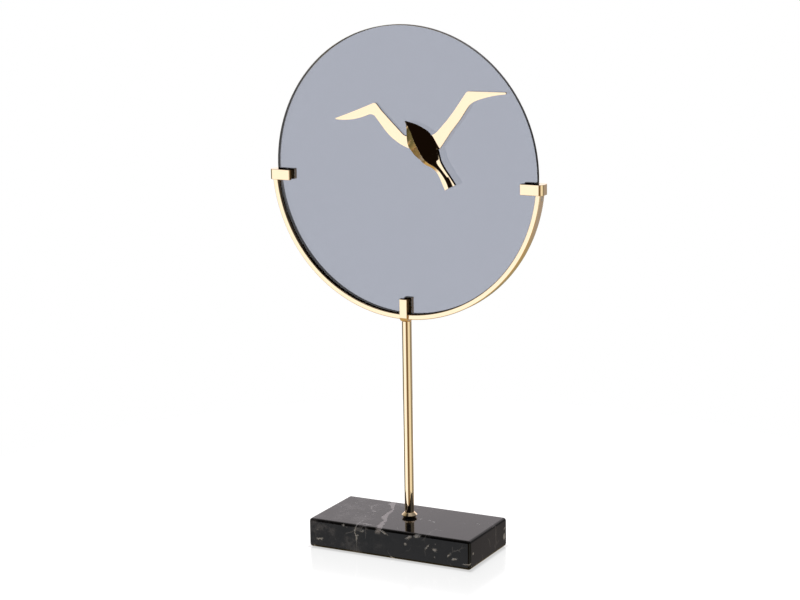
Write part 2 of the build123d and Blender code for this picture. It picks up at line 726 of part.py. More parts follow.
with BuildPart() as case_front:
    with BuildSketch(facing(case_rear, *shaft_place)):
        RectangleRounded(case_size, case_size, case_corner)
    extrude(amount=case_depth)
    fillet(case_front.faces().sort_by(Axis.Y)[0].edges(), case_fillet)
    with BuildSketch(facing(case_rear, *shaft_place)):
        with Locations((0, chamber_middle)):
            RectangleRounded(2 * chamber_side, chamber_high - chamber_low, case_fillet)
    extrude(amount=case_rear - chamber_front, mode=Mode.SUBTRACT)
    with BuildSketch(facing(case_rear, *shaft_place)):
        with Locations((0, (bay_low + bay_high) / 2)):
            Rectangle(2 * (half_case - bay_wall), bay_height)
    extrude(amount=case_depth - bay_wall, mode=Mode.SUBTRACT)
    round_of(bush_flange_diameter / 2 + sliding_fit, shaft_place, chamber_front - bush_flange,
             chamber_front, mode=Mode.SUBTRACT)
    round_of(bush_diameter / 2 + sliding_fit, shaft_place, case_face, chamber_front, mode=Mode.SUBTRACT)
    for place in arbor_places:
        round_of(pivot_radius + sliding_fit, place, chamber_front - pivot_hole_depth, chamber_front,
                 mode=Mode.SUBTRACT)
    with BuildSketch(facing(chamber_rear, *shaft_place)):
        with Locations(*boss_places):
            Circle(boss_radius)
            Circle(case_screw_diameter / 2 + press_fit, mode=Mode.SUBTRACT)
    extrude(amount=chamber_rear - chamber_front)
    with BuildSketch(facing(board_level[0], *shaft_place)):
        with Locations(*board_posts):
            Circle(post_radius)
    extrude(amount=board_level[0] - chamber_front)
    with BuildSketch(facing(stator_level[0], *shaft_place)):
        with Locations(*core_ends):
            Circle(post_radius)
    extrude(amount=stator_level[0] - chamber_front)
    with BuildSketch(facing(board_level[1] + peg_proud, *shaft_place)):
        with Locations(*board_posts):
            Circle(peg_radius)
    extrude(amount=board_level[1] + peg_proud - board_level[0])
    with BuildSketch(facing(core_level[1] + peg_proud, *shaft_place)):
        with Locations(*core_ends):
            Circle(peg_radius)
    extrude(amount=core_level[1] + peg_proud - stator_level[0])
    # Slots in the wall between bay and chamber, for the two battery contacts
    contact_slot_middle = chamber_side - contact_slot_length
    with BuildSketch(facing(case_rear, *shaft_place)):
        with Locations((-contact_slot_middle, (bay_high + chamber_low) / 2),
                       (contact_slot_middle, (bay_high + chamber_low) / 2)):
            Rectangle(contact_slot_length, bay_wall + loose_fit)
    extrude(amount=case_wall + contact_slot_depth, mode=Mode.SUBTRACT)
save(case_front, "case_front")

with BuildPart() as case_back:
    with BuildSketch(facing(case_rear, *shaft_place)):
        with Locations((0, chamber_middle)):
            RectangleRounded(2 * (chamber_side - sliding_fit),
                             chamber_high - chamber_low - 2 * sliding_fit, case_fillet)
        with Locations(*boss_places):
            Circle(case_screw_diameter / 2 + running_fit, mode=Mode.SUBTRACT)
    extrude(amount=case_wall)
    with BuildSketch(facing(case_rear, *shaft_place)):
        with Locations(*boss_places):
            Circle(case_screw_head / 2 + running_fit)
    extrude(amount=case_wall / 2, mode=Mode.SUBTRACT)
    round_of(minute_boss_radius, minute_place, minute_rear_bearing, chamber_rear)
    round_of(pivot_radius + sliding_fit, minute_place, minute_rear_bearing,
             minute_rear_bearing + pivot_hole_depth, mode=Mode.SUBTRACT)
    for place in (shaft_place, third_place, seconds_place, step_place, rotor_place):
        round_of(pivot_radius + sliding_fit, place, chamber_rear, chamber_rear + pivot_hole_depth,
                 mode=Mode.SUBTRACT)
    round_of(setting_shaft_radius + running_fit, knob_place, chamber_rear, case_rear, mode=Mode.SUBTRACT)
save(case_back, "case_back")

case_screw_length = 7.0
with BuildPart() as case_screws:
    with BuildSketch(facing(case_rear - case_wall / 2, *shaft_place)):
        with Locations(*boss_places):
            Circle(case_screw_diameter / 2)
    extrude(amount=case_screw_length)
    with BuildSketch(facing(case_rear - loose_fit / 2, *shaft_place)):
        with Locations(*boss_places):
            Circle(case_screw_head / 2)
    extrude(amount=case_wall / 2 - loose_fit / 2)
    with BuildSketch(facing(case_rear - loose_fit / 2, *shaft_place)):
        with Locations(*boss_places):
            Rectangle(case_screw_slot_length, case_screw_slot)
            Rectangle(case_screw_slot, case_screw_slot_length)
    extrude(amount=case_wall / 4, mode=Mode.SUBTRACT)
save(case_screws, "case_screws")

# ---------------------------------------------------------------- fixing through the glass

with BuildPart() as hand_bush:
    round_of(bush_flange_diameter / 2, shaft_place, chamber_front - bush_flange, chamber_front)
    round_of(bush_diameter / 2, shaft_place, nut_front, chamber_front)
    round_of(pipe_diameter / 2 + running_fit, shaft_place, nut_front, chamber_front, mode=Mode.SUBTRACT)
save(hand_bush, "hand_bush")

with BuildPart() as seal_washer:
    round_of(seal_diameter / 2, shaft_place, glass_back, case_face)
    round_of(bush_diameter / 2 + loose_fit, shaft_place, glass_back, case_face, mode=Mode.SUBTRACT)
save(seal_washer, "seal_washer")

with BuildPart() as dial_washer:
    round_of(dial_washer_diameter / 2, shaft_place, glass_front - dial_washer_thickness, glass_front)
    round_of(bush_diameter / 2 + sliding_fit, shaft_place, glass_front - dial_washer_thickness,
             glass_front, mode=Mode.SUBTRACT)
save(dial_washer, "dial_washer")

with BuildPart() as dial_nut:
    with BuildSketch(facing(nut_front + nut_thickness, *shaft_place)):
        RegularPolygon(nut_width / 2, 6, major_radius=False)
        Circle(bush_diameter / 2 + press_fit, mode=Mode.SUBTRACT)
    extrude(amount=nut_thickness)
save(dial_nut, "dial_nut")

# ---------------------------------------------------------------- motor, board and battery

stator_leg = 3.0
stator_ring_radius = 4.0
stator_gap = 0.5
rotor_local = (rotor_place[0] - shaft_x, rotor_place[1] - shaft_z)
yoke_low = rotor_local[1] + 0.2

with BuildPart() as stator:
    with BuildSketch(facing(stator_level[1], *shaft_place)):
        with Locations((0, yoke_low)):
            Rectangle(core_ends[1][0] * 2 + stator_leg, stator_leg, align=(Align.CENTER, Align.MIN))
        for end in core_ends:
            with Locations((end[0], yoke_low)):
                Rectangle(stator_leg, end[1] + stator_leg / 2 - yoke_low, align=(Align.CENTER, Align.MIN))
        with Locations(rotor_local):
            Circle(stator_ring_radius)
            Circle(magnet_radius + stator_gap, mode=Mode.SUBTRACT)
        with Locations(*core_ends):
            Circle(peg_radius + sliding_fit, mode=Mode.SUBTRACT)
    extrude(amount=stator_level[1] - stator_level[0])
save(stator, "stator")

bobbin_length = 16.0
bobbin_flange = 0.8
bobbin_radius = 3.2
coil_radius = 2.9
core_middle = (core_level[0] + core_level[1]) / 2

with BuildPart() as coil_core:
    with BuildSketch(facing(core_level[1], *shaft_place)):
        with Locations((0, core_ends[0][1])):
            Rectangle(core_ends[1][0] * 2 + stator_leg, stator_leg)
        with Locations(*core_ends):
            Circle(peg_radius + sliding_fit, mode=Mode.SUBTRACT)
    extrude(amount=core_level[1] - core_level[0])
save(coil_core, "coil_core")

coil_plane = across(shaft_x - bobbin_length / 2, core_middle, shaft_z + core_ends[0][1])
core_thickness = core_level[1] - core_level[0]
bobbin_walls = 0.8
tube_side = stator_leg + bobbin_walls

with BuildPart() as coil_bobbin:
    with BuildSketch(coil_plane):
        Rectangle(core_thickness + bobbin_walls, tube_side)
        Rectangle(core_thickness, stator_leg, mode=Mode.SUBTRACT)
    extrude(amount=bobbin_length)
    for flange_plane in (coil_plane, coil_plane.offset(bobbin_length - bobbin_flange)):
        with BuildSketch(flange_plane):
            Circle(bobbin_radius)
            Rectangle(core_thickness, stator_leg, mode=Mode.SUBTRACT)
        extrude(amount=bobbin_flange)
save(coil_bobbin, "coil_bobbin")

with BuildPart() as coil_winding:
    with BuildSketch(coil_plane.offset(bobbin_flange)):
        Circle(coil_radius)
        Rectangle(core_thickness + bobbin_walls, tube_side, mode=Mode.SUBTRACT)
    extrude(amount=bobbin_length - 2 * bobbin_flange)
save(coil_winding, "coil_winding")

board_width = 13.0
board_left = -chamber_side + loose_fit
board_low = chamber_low + loose_fit
board_height = 17.0
chip_radius = 2.6
chip_height = 1.2
chip_round = 0.9
chip_place = (-17.5, 3.0)

with BuildPart() as circuit_board:
    with BuildSketch(facing(board_level[1], *shaft_place)):
        with Locations((board_left, board_low)):
            Rectangle(board_width, board_height, align=(Align.MIN, Align.MIN))
        with Locations(*board_posts):
            Circle(peg_radius + sliding_fit, mode=Mode.SUBTRACT)
    extrude(amount=board_level[1] - board_level[0])
save(circuit_board, "circuit_board")

with BuildPart() as board_chip:
    with BuildSketch(facing(board_level[1] + chip_height, *shaft_place)):
        with Locations(chip_place):
            Circle(chip_radius)
    extrude(amount=chip_height)
    fillet(board_chip.faces().sort_by(Axis.Y)[-1].edges(), chip_round)
save(board_chip, "board_chip")

crystal_radius = 1.0
crystal_length = 6.0
crystal_place = (-21.0, -4.5)
with BuildPart() as quartz_crystal:
    with BuildSketch(across(shaft_x + crystal_place[0], board_level[1] + crystal_radius,
                            shaft_z + crystal_place[1])):
        Circle(crystal_radius)
    extrude(amount=crystal_length)
save(quartz_crystal, "quartz_crystal")

battery_y = case_face + bay_wall + battery_diameter / 2 + running_fit
battery_z = shaft_z + (bay_low + bay_high) / 2
battery_start = shaft_x - battery_length / 2
battery_plane = across(battery_start, battery_y, battery_z)
battery_round = 0.6
battery_nub_radius = 2.7

with BuildPart() as battery_cell:
    with BuildSketch(battery_plane):
        Circle(battery_diameter / 2)
    extrude(amount=battery_length)
    fillet(battery_cell.edges().filter_by(GeomType.CIRCLE), battery_round)
    with BuildSketch(battery_plane.offset(battery_length)):
        Circle(battery_nub_radius)
    extrude(amount=battery_nub)
save(battery_cell, "battery_cell")

strip = 0.3
contact_height = 10.0
contact_width = 9.0
contact_dimple_radius = 2.0
contact_cone_radii = (4.0, 2.2)
bay_end = half_case - bay_wall
plate_gap = bay_end - strip - battery_length / 2 - battery_nub

with BuildPart() as contact_positive:
    with BuildSketch(across(shaft_x + bay_end - strip, battery_y, battery_z)):
        Rectangle(contact_width, contact_height)
    extrude(amount=strip)
    with BuildSketch(across(shaft_x + bay_end - strip - plate_gap, battery_y, battery_z)):
        Circle(contact_dimple_radius)
    extrude(amount=plate_gap)
save(contact_positive, "contact_positive")

with BuildPart() as contact_negative:
    with BuildSketch(across(shaft_x - bay_end, battery_y, battery_z)):
        Rectangle(contact_width, contact_height)
    extrude(amount=strip)
    with BuildSketch(across(shaft_x - bay_end + strip, battery_y, battery_z)):
        Circle(contact_cone_radii[0])
    with BuildSketch(battery_plane):
        Circle(contact_cone_radii[1])
    loft()
save(contact_negative, "contact_negative")
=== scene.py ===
import math

import bmesh
import bpy
from mathutils import Matrix, Vector


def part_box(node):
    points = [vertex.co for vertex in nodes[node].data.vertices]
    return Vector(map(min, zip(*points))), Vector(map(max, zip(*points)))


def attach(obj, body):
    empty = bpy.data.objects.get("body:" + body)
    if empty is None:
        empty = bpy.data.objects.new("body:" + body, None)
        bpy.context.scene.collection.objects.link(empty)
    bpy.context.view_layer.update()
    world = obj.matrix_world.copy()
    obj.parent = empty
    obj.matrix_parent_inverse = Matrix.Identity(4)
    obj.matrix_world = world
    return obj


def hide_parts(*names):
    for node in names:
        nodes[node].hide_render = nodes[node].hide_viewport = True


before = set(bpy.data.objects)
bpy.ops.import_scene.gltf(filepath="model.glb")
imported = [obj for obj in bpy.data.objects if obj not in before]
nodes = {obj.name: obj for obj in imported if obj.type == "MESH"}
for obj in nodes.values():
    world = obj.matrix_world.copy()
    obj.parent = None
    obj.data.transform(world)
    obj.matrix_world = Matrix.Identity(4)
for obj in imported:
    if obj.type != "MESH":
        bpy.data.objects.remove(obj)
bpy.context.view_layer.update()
scene = bpy.context.scene
mm = 0.001

# ---------------------------------------------------------------- camera
# A long lens in front of the clock and to its right, looking down a little, with a slight tilt.

view_turn = math.radians(27.630)
view_dip = math.radians(11.770)
view_tilt = math.radians(-0.871)
stand_off = 2.1652
aim = Vector((-0.00755, 0.0044, 0.26645))
outward = Vector((math.sin(view_turn) * math.cos(view_dip), -math.cos(view_turn) * math.cos(view_dip),
                  math.sin(view_dip)))

lens = bpy.data.cameras.new("camera")
lens.lens = 93.438
lens.sensor_width = 36.0
camera = bpy.data.objects.new("camera", lens)
camera.location = aim + outward * stand_off
facing_aim = outward.to_track_quat("Z", "Y").to_matrix()
camera.rotation_euler = (facing_aim @ Matrix.Rotation(view_tilt, 3, "Z")).to_euler()
scene.collection.objects.link(camera)
scene.camera = camera
scene.view_settings.view_transform = "Standard"

# ---------------------------------------------------------------- studio
# A small white table in a white room. What the polished pieces mirror is a ring of soft boxes and
# dark flags: a wide box left of the face, a warm one right of the lens, dark between and behind.


def link(tree, source, target):
    """Join an output socket to an input socket."""
    tree.links.new(source, target)


def node(tree, kind, settings=None, **inputs):
    """Add a node, set its properties and its unlinked inputs by name, and return it."""
    made = tree.nodes.new(kind)
    for name, value in (settings or {}).items():
        setattr(made, name, value)
    for name, value in inputs.items():
        made.inputs[name.replace("_", " ")].default_value = value
    return made


def ramp(tree, factor, stops):
    """A colour ramp through (place, colour) stops; a plain number is a grey."""
    made = node(tree, "ShaderNodeValToRGB")
    link(tree, factor, made.inputs["Fac"])
    elements = made.color_ramp.elements
    while len(elements) < len(stops):
        elements.new(0.5)
    for element, (place, colour) in zip(elements, stops):
        element.position = place
        element.color = (colour, colour, colour, 1.0) if isinstance(colour, float) else (*colour, 1.0)
    return made.outputs["Color"]


def maths(tree, operation, first, second=0.0, third=0.0):
    """A Math node on numbers or sockets."""
    made = node(tree, "ShaderNodeMath", {"operation": operation})
    for socket, value in zip(made.inputs, (first, second, third)):
        if isinstance(value, (int, float)):
            socket.default_value = value
        else:
            link(tree, value, socket)
    return made.outputs[0]


def blend(tree, factor, first, second):
    """A colour Mix node; each argument is a socket, a number or a colour."""
    made = node(tree, "ShaderNodeMix", {"data_type": "RGBA"})
    for socket, value in ((made.inputs[0], factor), (made.inputs[6], first), (made.inputs[7], second)):
        if isinstance(value, (int, float)):
            socket.default_value = value
        elif isinstance(value, tuple):
            socket.default_value = (*value, 1.0)
        else:
            link(tree, value, socket)
    return made.outputs[2]


studio_power = 1.35
soft_box = (0.93, 0.95, 1.0)
warm_box = (0.72, 0.70, 0.60)
pale_wall = (0.88, 0.82, 0.84)
dark_olive = (0.12, 0.115, 0.06)
back_olive = (0.20, 0.19, 0.13)
back_brown = (0.30, 0.27, 0.26)
brown_flag = (0.15, 0.10, 0.05)
black_flag = (0.005, 0.003, 0.002)
warm_floor = (0.40, 0.30, 0.14)
side_wall = (0.42, 0.40, 0.36)
dim_wall = (0.20, 0.18, 0.13)
# Round the horizon from behind, by way of the left and the front, as a share of a full turn.
low_ring = [
    (0.0, back_olive), (0.08, back_olive), (0.10, dark_olive), (0.285, dark_olive),
    (0.305, soft_box), (0.475, soft_box), (0.515, brown_flag), (0.618, brown_flag),
    (0.645, warm_box), (0.77, warm_box), (0.80, dark_olive), (0.90, back_brown),
    (0.96, back_brown), (1.0, back_olive),
]
middle_ring = [
    (0.0, pale_wall), (0.14, pale_wall), (0.20, side_wall), (0.30, dim_wall), (0.38, black_flag),
    (0.64, black_flag), (0.70, 0.30), (0.80, 0.20), (0.92, 0.14), (0.97, pale_wall),
]
overhead = 0.52

world = bpy.data.worlds.new("studio")
world.use_nodes = True
scene.world = world
studio = world.node_tree
studio.nodes.clear()
direction = node(studio, "ShaderNodeTexCoord")
across = node(studio, "ShaderNodeSeparateXYZ")
link(studio, direction.outputs["Generated"], across.inputs[0])
toward_front = maths(studio, "MULTIPLY", across.outputs["Y"], -1.0)
heading = maths(studio, "ARCTAN2", across.outputs["X"], toward_front)
turn_share = maths(studio, "MULTIPLY_ADD", heading, 1.0 / (2.0 * math.pi), 0.5)
rise = across.outputs["Z"]


def between(tree, value, low, high):
    """0 below low, 1 above high, with a soft step between."""
    made = node(tree, "ShaderNodeMapRange", {"interpolation_type": "SMOOTHSTEP"},
                From_Min=low, From_Max=high)
    link(tree, value, made.inputs["Value"])
    return made.outputs["Result"]


low_light = ramp(studio, turn_share, low_ring)
middle_light = ramp(studio, turn_share, middle_ring)
floor_light = blend(studio, between(studio, rise, -0.55, -0.35), warm_floor, low_light)
lower_half = blend(studio, between(studio, rise, -0.05, 0.02), floor_light, middle_light)
all_round = blend(studio, between(studio, rise, 0.90, 0.99), lower_half, (overhead, overhead, overhead))
mirrored = node(studio, "ShaderNodeBackground", Strength=studio_power)
link(studio, all_round, mirrored.inputs["Color"])
backdrop = node(studio, "ShaderNodeBackground", Color=(1.0, 1.0, 1.0, 1.0), Strength=1.0)
seen = node(studio, "ShaderNodeLightPath")
either = node(studio, "ShaderNodeMixShader")
sky = node(studio, "ShaderNodeOutputWorld")
link(studio, seen.outputs["Is Camera Ray"], either.inputs["Fac"])
link(studio, mirrored.outputs[0], either.inputs[1])
link(studio, backdrop.outputs[0], either.inputs[2])
link(studio, either.outputs[0], sky.inputs["Surface"])

table_radius = 0.62
table_mesh = bpy.data.meshes.new("table_top")
shape = bmesh.new()
bmesh.ops.create_circle(shape, cap_ends=True, radius=table_radius, segments=96)
shape.to_mesh(table_mesh)
shape.free()
table_top = bpy.data.objects.new("table_top", table_mesh)
scene.collection.objects.link(table_top)

table_white = bpy.data.materials.new("table_white")
table_white.use_nodes = True
surface = table_white.node_tree
surface.nodes.clear()
place = node(surface, "ShaderNodeTexCoord")
folded = node(surface, "ShaderNodeVectorMath", {"operation": "ABSOLUTE"})
link(surface, place.outputs["Object"], folded.inputs[0])
past_slab = node(surface, "ShaderNodeVectorMath", {"operation": "SUBTRACT"})
link(surface, folded.outputs[0], past_slab.inputs[0])
slab_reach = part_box("base_slab")[1]
past_slab.inputs[1].default_value = (slab_reach.x, slab_reach.y, 0.0)
outside = node(surface, "ShaderNodeVectorMath", {"operation": "MAXIMUM"})
link(surface, past_slab.outputs[0], outside.inputs[0])
outside.inputs[1].default_value = (0.0, 0.0, 0.0)
away = node(surface, "ShaderNodeVectorMath", {"operation": "LENGTH"})
link(surface, outside.outputs[0], away.inputs[0])
lit = node(surface, "ShaderNodeEmission", Strength=1.0)
# The table glows white for the lens; a painted shadow darkens this glow close round the slab's foot and
# fades out further away.
painted_slab_shadow = [(0.0, 0.60), (0.0012, 0.85), (0.012, 0.90), (0.06, 0.95), (0.16, 1.0)]
link(surface, ramp(surface, away.outputs["Value"], painted_slab_shadow), lit.inputs["Color"])
sheen = node(surface, "ShaderNodeBsdfGlossy", Color=(0.22, 0.22, 0.22, 1.0), Roughness=0.16)
summed = node(surface, "ShaderNodeAddShader")
link(surface, lit.outputs[0], summed.inputs[0])
link(surface, sheen.outputs[0], summed.inputs[1])
unseen = node(surface, "ShaderNodeBsdfTransparent")
by_lens = node(surface, "ShaderNodeLightPath")
lens_only = node(surface, "ShaderNodeMixShader")
link(surface, by_lens.outputs["Is Camera Ray"], lens_only.inputs["Fac"])
link(surface, unseen.outputs[0], lens_only.inputs[1])
link(surface, summed.outputs[0], lens_only.inputs[2])
output = node(surface, "ShaderNodeOutputMaterial")
link(surface, lens_only.outputs[0], output.inputs["Surface"])
table_mesh.materials.append(table_white)

# ---------------------------------------------------------------- marble slab
# A block of polished black marble with rounded edges. White veins cross its left half, one wide
# pale vein runs beside the pole, and small white flecks lie in its front. It is bored from below.


def finish(name, **values):
    """A new material with one Principled shader: it, its tree, its shader and Object coordinates."""
    material = bpy.data.materials.new(name)
    material.use_nodes = True
    tree = material.node_tree
    shader = tree.nodes["Principled BSDF"]
    for key, value in values.items():
        shader.inputs[key.replace("_", " ")].default_value = value
    coordinates = node(tree, "ShaderNodeTexCoord").outputs["Object"]
    return material, tree, shader, coordinates


def noise(tree, coordinates, scale, detail=4.0, roughness=0.55, distortion=0.0):
    """A noise texture; its scale is in patches to the metre."""
    made = node(tree, "ShaderNodeTexNoise", Scale=scale, Detail=detail, Roughness=roughness,
                Distortion=distortion)
    link(tree, coordinates, made.inputs["Vector"])
    return made.outputs["Fac"]


def grain(tree, shader, height, strength, depth):
    """Let a height pattern raise the surface by at most depth metres."""
    bump = node(tree, "ShaderNodeBump", Strength=strength, Distance=depth)
    link(tree, height, bump.inputs["Height"])
    link(tree, bump.outputs["Normal"], shader.inputs["Normal"])


def to_mesh(name, shape):
    """Turn a bmesh into an object with outward faces."""
    bmesh.ops.remove_doubles(shape, verts=shape.verts, dist=1e-7)
    bmesh.ops.recalc_face_normals(shape, faces=shape.faces)
    mesh = bpy.data.meshes.new(name)
    shape.to_mesh(mesh)
    shape.free()
    piece = bpy.data.objects.new(name, mesh)
    scene.collection.objects.link(piece)
    return piece


def settled(piece):
    """Bake a piece's modifiers into its mesh and take them off."""
    bpy.context.view_layer.update()
    done = bpy.data.meshes.new_from_object(piece.evaluated_get(bpy.context.evaluated_depsgraph_get()))
    piece.modifiers.clear()
    piece.data = done
    return piece


def turned(name, profile, centre, axis="Z", segments=96):
    """A piece turned on a lathe: a closed profile of (radius, place along the axis), in metres."""
    shape = bmesh.new()
    rings = []
    for step in range(segments):
        angle = 2.0 * math.pi * step / segments
        ring = []
        for radius, along in profile:
            right = radius * math.cos(angle)
            out = radius * math.sin(angle)
            spot = {"Z": (right, out, along), "Y": (right, along, out), "X": (along, right, out)}[axis]
            ring.append(shape.verts.new(Vector(spot) + Vector(centre)))
        rings.append(ring)
    for step in range(segments):
        here, there = rings[step], rings[(step + 1) % segments]
        for index in range(len(profile)):
            after = (index + 1) % len(profile)
            if profile[index][0] == 0.0 and profile[after][0] == 0.0:
                continue
            shape.faces.new((here[index], here[after], there[after], there[index]))
    return to_mesh(name, shape)


def cut(piece, cutters, operation="DIFFERENCE"):
    """Cut pieces out of a piece, or join them to it, and use them up."""
    for cutter in cutters:
        step = piece.modifiers.new("cut", "BOOLEAN")
        step.operation = operation
        step.solver = "EXACT"
        step.object = cutter
    settled(piece)
    for cutter in cutters:
        bpy.data.objects.remove(cutter)
    return piece


def rod(name, radius, low, high, centre, axis="Z", segments=64):
    """A plain round between two places along its axis."""
    return turned(name, [(0.0, low), (radius, low), (radius, high), (0.0, high)], centre, axis, segments)


def ease(piece, radius, steps=3, angle=30.0):
    """Break a piece's sharp edges with a small round, and keep its flats flat in the gloss."""
    edge = piece.modifiers.new("edge", "BEVEL")
    edge.width = radius
    edge.segments = steps
    edge.limit_method = "ANGLE"
    edge.angle_limit = math.radians(angle)
    edge.miter_outer = "MITER_ARC"
    return smooth(piece)


def smooth(piece, angle=35.0):
    """Shade a piece smooth, with breaks at its sharp edges and flats that stay flat."""
    for face in piece.data.polygons:
        face.use_smooth = True
    piece.data.set_sharp_from_angle(angle=math.radians(angle))
    flats = piece.modifiers.new("flats", "WEIGHTED_NORMAL")
    flats.keep_sharp = True
    return settled(piece)


def fit(piece, body, slot, material, *replaced):
    """Give a piece its material and its body, and hide the nodes that it stands for; the slot is not
    used.
    """
    piece.data.materials.clear()
    piece.data.materials.append(material)
    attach(piece, body)
    if replaced:
        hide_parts(*replaced)
    return piece


def dress(material, *names):
    """Give a material to nodes that keep their own shape."""
    for name in names:
        for spot in nodes[name].material_slots:
            spot.material = material


slab_low, slab_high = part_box("base_slab")
slab_round = 3.2 * mm
pad_low, pad_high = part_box("base_pads")
washer_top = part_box("base_washer")[1].z
bolt_low, bolt_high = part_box("base_bolt")
counterbore_radius = 11.0 * mm
bolt_radius = 2.5 * mm
pad_radius = 8.0 * mm
pad_inset = 16.0 * mm
pad_spots = [(x, y) for x in (slab_low.x + pad_inset, slab_high.x - pad_inset)
             for y in (slab_low.y + pad_inset, slab_high.y - pad_inset)]

shape = bmesh.new()
bmesh.ops.create_cube(shape, size=1.0)
bmesh.ops.scale(shape, vec=slab_high - slab_low, verts=shape.verts)
bmesh.ops.translate(shape, vec=(slab_low + slab_high) / 2, verts=shape.verts)
bmesh.ops.bevel(shape, geom=shape.edges[:], offset=slab_round, segments=6, affect="EDGES", profile=0.5)
marble_slab = to_mesh("marble_slab", shape)
below = slab_low.z - 1.0 * mm
bolt_axis = ((bolt_low.x + bolt_high.x) / 2, (bolt_low.y + bolt_high.y) / 2, 0.0)
slab_bores = [rod("counterbore", counterbore_radius, below, washer_top, bolt_axis),
              rod("bolt_hole", bolt_radius + 0.3 * mm, below, slab_high.z + 1.0 * mm, bolt_axis)]
slab_bores += [rod("pad_seat", pad_radius, below, pad_high.z, (x, y, 0)) for x, y in pad_spots]
cut(marble_slab, slab_bores)
smooth(marble_slab)

black_marble, tree, shader, where = finish("black_marble", Specular_IOR_Level=0.20)
wander = node(tree, "ShaderNodeTexNoise", Scale=16.0, Detail=5.0, Roughness=0.6)
link(tree, where, wander.inputs["Vector"])
pushed = node(tree, "ShaderNodeVectorMath", {"operation": "MULTIPLY_ADD"})
link(tree, wander.outputs["Color"], pushed.inputs[0])
pushed.inputs[1].default_value = (0.030, 0.030, 0.030)
link(tree, where, pushed.inputs[2])
drifted = pushed.outputs[0]
left_share = node(tree, "ShaderNodeSeparateXYZ")
link(tree, where, left_share.inputs[0])
left_half = between(tree, maths(tree, "MULTIPLY", left_share.outputs["X"], -1.0), -0.012, 0.035)

clouds = between(tree, noise(tree, drifted, 30.0, 9.0, 0.74), 0.40, 0.68)
clouds = maths(tree, "MULTIPLY", clouds, maths(tree, "MULTIPLY_ADD", left_half, 0.75, 0.25))
stone_black = (0.006, 0.006, 0.007)
stone_dark = (0.020, 0.019, 0.021)
stone_grey = (0.115, 0.110, 0.115)
ground = ramp(tree, clouds, [(0.0, stone_black), (0.35, stone_dark), (1.0, stone_grey)])


def cracks(scale, width, stretch, seed):
    """White hairlines where the cells of a stretched pattern meet."""
    lie = node(tree, "ShaderNodeMapping", Scale=stretch, Location=(seed, seed, seed))
    link(tree, drifted, lie.inputs["Vector"])
    cells = node(tree, "ShaderNodeTexVoronoi", {"feature": "DISTANCE_TO_EDGE"}, Scale=scale)
    link(tree, lie.outputs[0], cells.inputs["Vector"])
    return maths(tree, "SUBTRACT", 1.0, between(tree, cells.outputs["Distance"], 0.0, width))


def mark(middle, half_sizes, lean, drift=0.0075):
    """One white mark in the stone: a ragged lens at a place, leaning in the front's plane, in mm."""
    rag = node(tree, "ShaderNodeTexNoise", Scale=420.0, Detail=5.0, Roughness=0.75)
    link(tree, where, rag.inputs["Vector"])
    ragged = node(tree, "ShaderNodeVectorMath", {"operation": "MULTIPLY_ADD"})
    link(tree, rag.outputs["Color"], ragged.inputs[0])
    ragged.inputs[1].default_value = (drift, drift, drift)
    link(tree, where, ragged.inputs[2])
    centred = node(tree, "ShaderNodeVectorMath", {"operation": "SUBTRACT"})
    link(tree, ragged.outputs[0], centred.inputs[0])
    centred.inputs[1].default_value = tuple(value * mm + drift / 2 for value in middle)
    lain = node(tree, "ShaderNodeVectorRotate", {"rotation_type": "Y_AXIS"}, Angle=math.radians(lean))
    link(tree, centred.outputs[0], lain.inputs["Vector"])
    scaled = node(tree, "ShaderNodeVectorMath", {"operation": "DIVIDE"})
    link(tree, lain.outputs[0], scaled.inputs[0])
    scaled.inputs[1].default_value = tuple(value * mm for value in half_sizes)
    reach = node(tree, "ShaderNodeVectorMath", {"operation": "LENGTH"})
    link(tree, scaled.outputs[0], reach.inputs[0])
    return maths(tree, "SUBTRACT", 1.0, between(tree, reach.outputs["Value"], 0.35, 1.15))


broken = between(tree, noise(tree, where, 40.0, 3.0, 0.5), 0.50, 0.64)
hairs = maths(tree, "MULTIPLY", cracks(13.0, 0.011, (1.0, 0.55, 1.0), 0.7), broken)
hairs = maths(tree, "MULTIPLY", hairs, maths(tree, "MULTIPLY_ADD", left_half, 0.85, 0.15))
curls = maths(tree, "MULTIPLY", cracks(48.0, 0.045, (1.0, 1.0, 0.8), 4.1),
              between(tree, noise(tree, where, 36.0, 2.0, 0.5), 0.56, 0.66))
flecks = maths(tree, "MULTIPLY", cracks(34.0, 0.07, (0.6, 1.0, 1.4), 2.3),
               between(tree, noise(tree, where, 85.0, 2.0, 0.5), 0.64, 0.71))
front = slab_low.y / mm
for middle, half_sizes, lean in (
        ((-82.0, front, 10.6), (5.0, 6.0, 1.5), 8.0), ((-36.7, front, 20.3), (2.2, 5.0, 1.3), 0.0),
        ((-30.0, front, 26.2), (2.2, 5.0, 1.1), 0.0), ((-53.0, front, 29.4), (1.8, 5.0, 1.2), 0.0),
        ((-7.0, front, 29.0), (9.0, 4.0, 0.9), -24.0),
        ((-31.0, front + 8.0, 31.7), (12.0, 1.1, 3.0), 6.0),
        ((34.0, front, 29.6), (4.5, 5.0, 2.2), 10.0), ((24.0, front, 26.5), (4.5, 5.0, 1.5), 30.0),
        ((46.0, front, 19.6), (5.0, 5.0, 0.8), 52.0), ((54.0, front, 17.4), (3.4, 5.0, 1.7), -20.0),
        ((71.0, front, 14.2), (3.4, 5.0, 0.8), 55.0), ((77.0, front, 10.6), (4.0, 5.0, 1.3), 12.0),
        ((92.0, front, 7.0), (6.0, 5.0, 0.9), 8.0), ((95.0, 38.4, 12.6), (3.0, 2.6, 4.6), 12.0)):
    flecks = maths(tree, "MAXIMUM", flecks, mark(middle, half_sizes, lean))

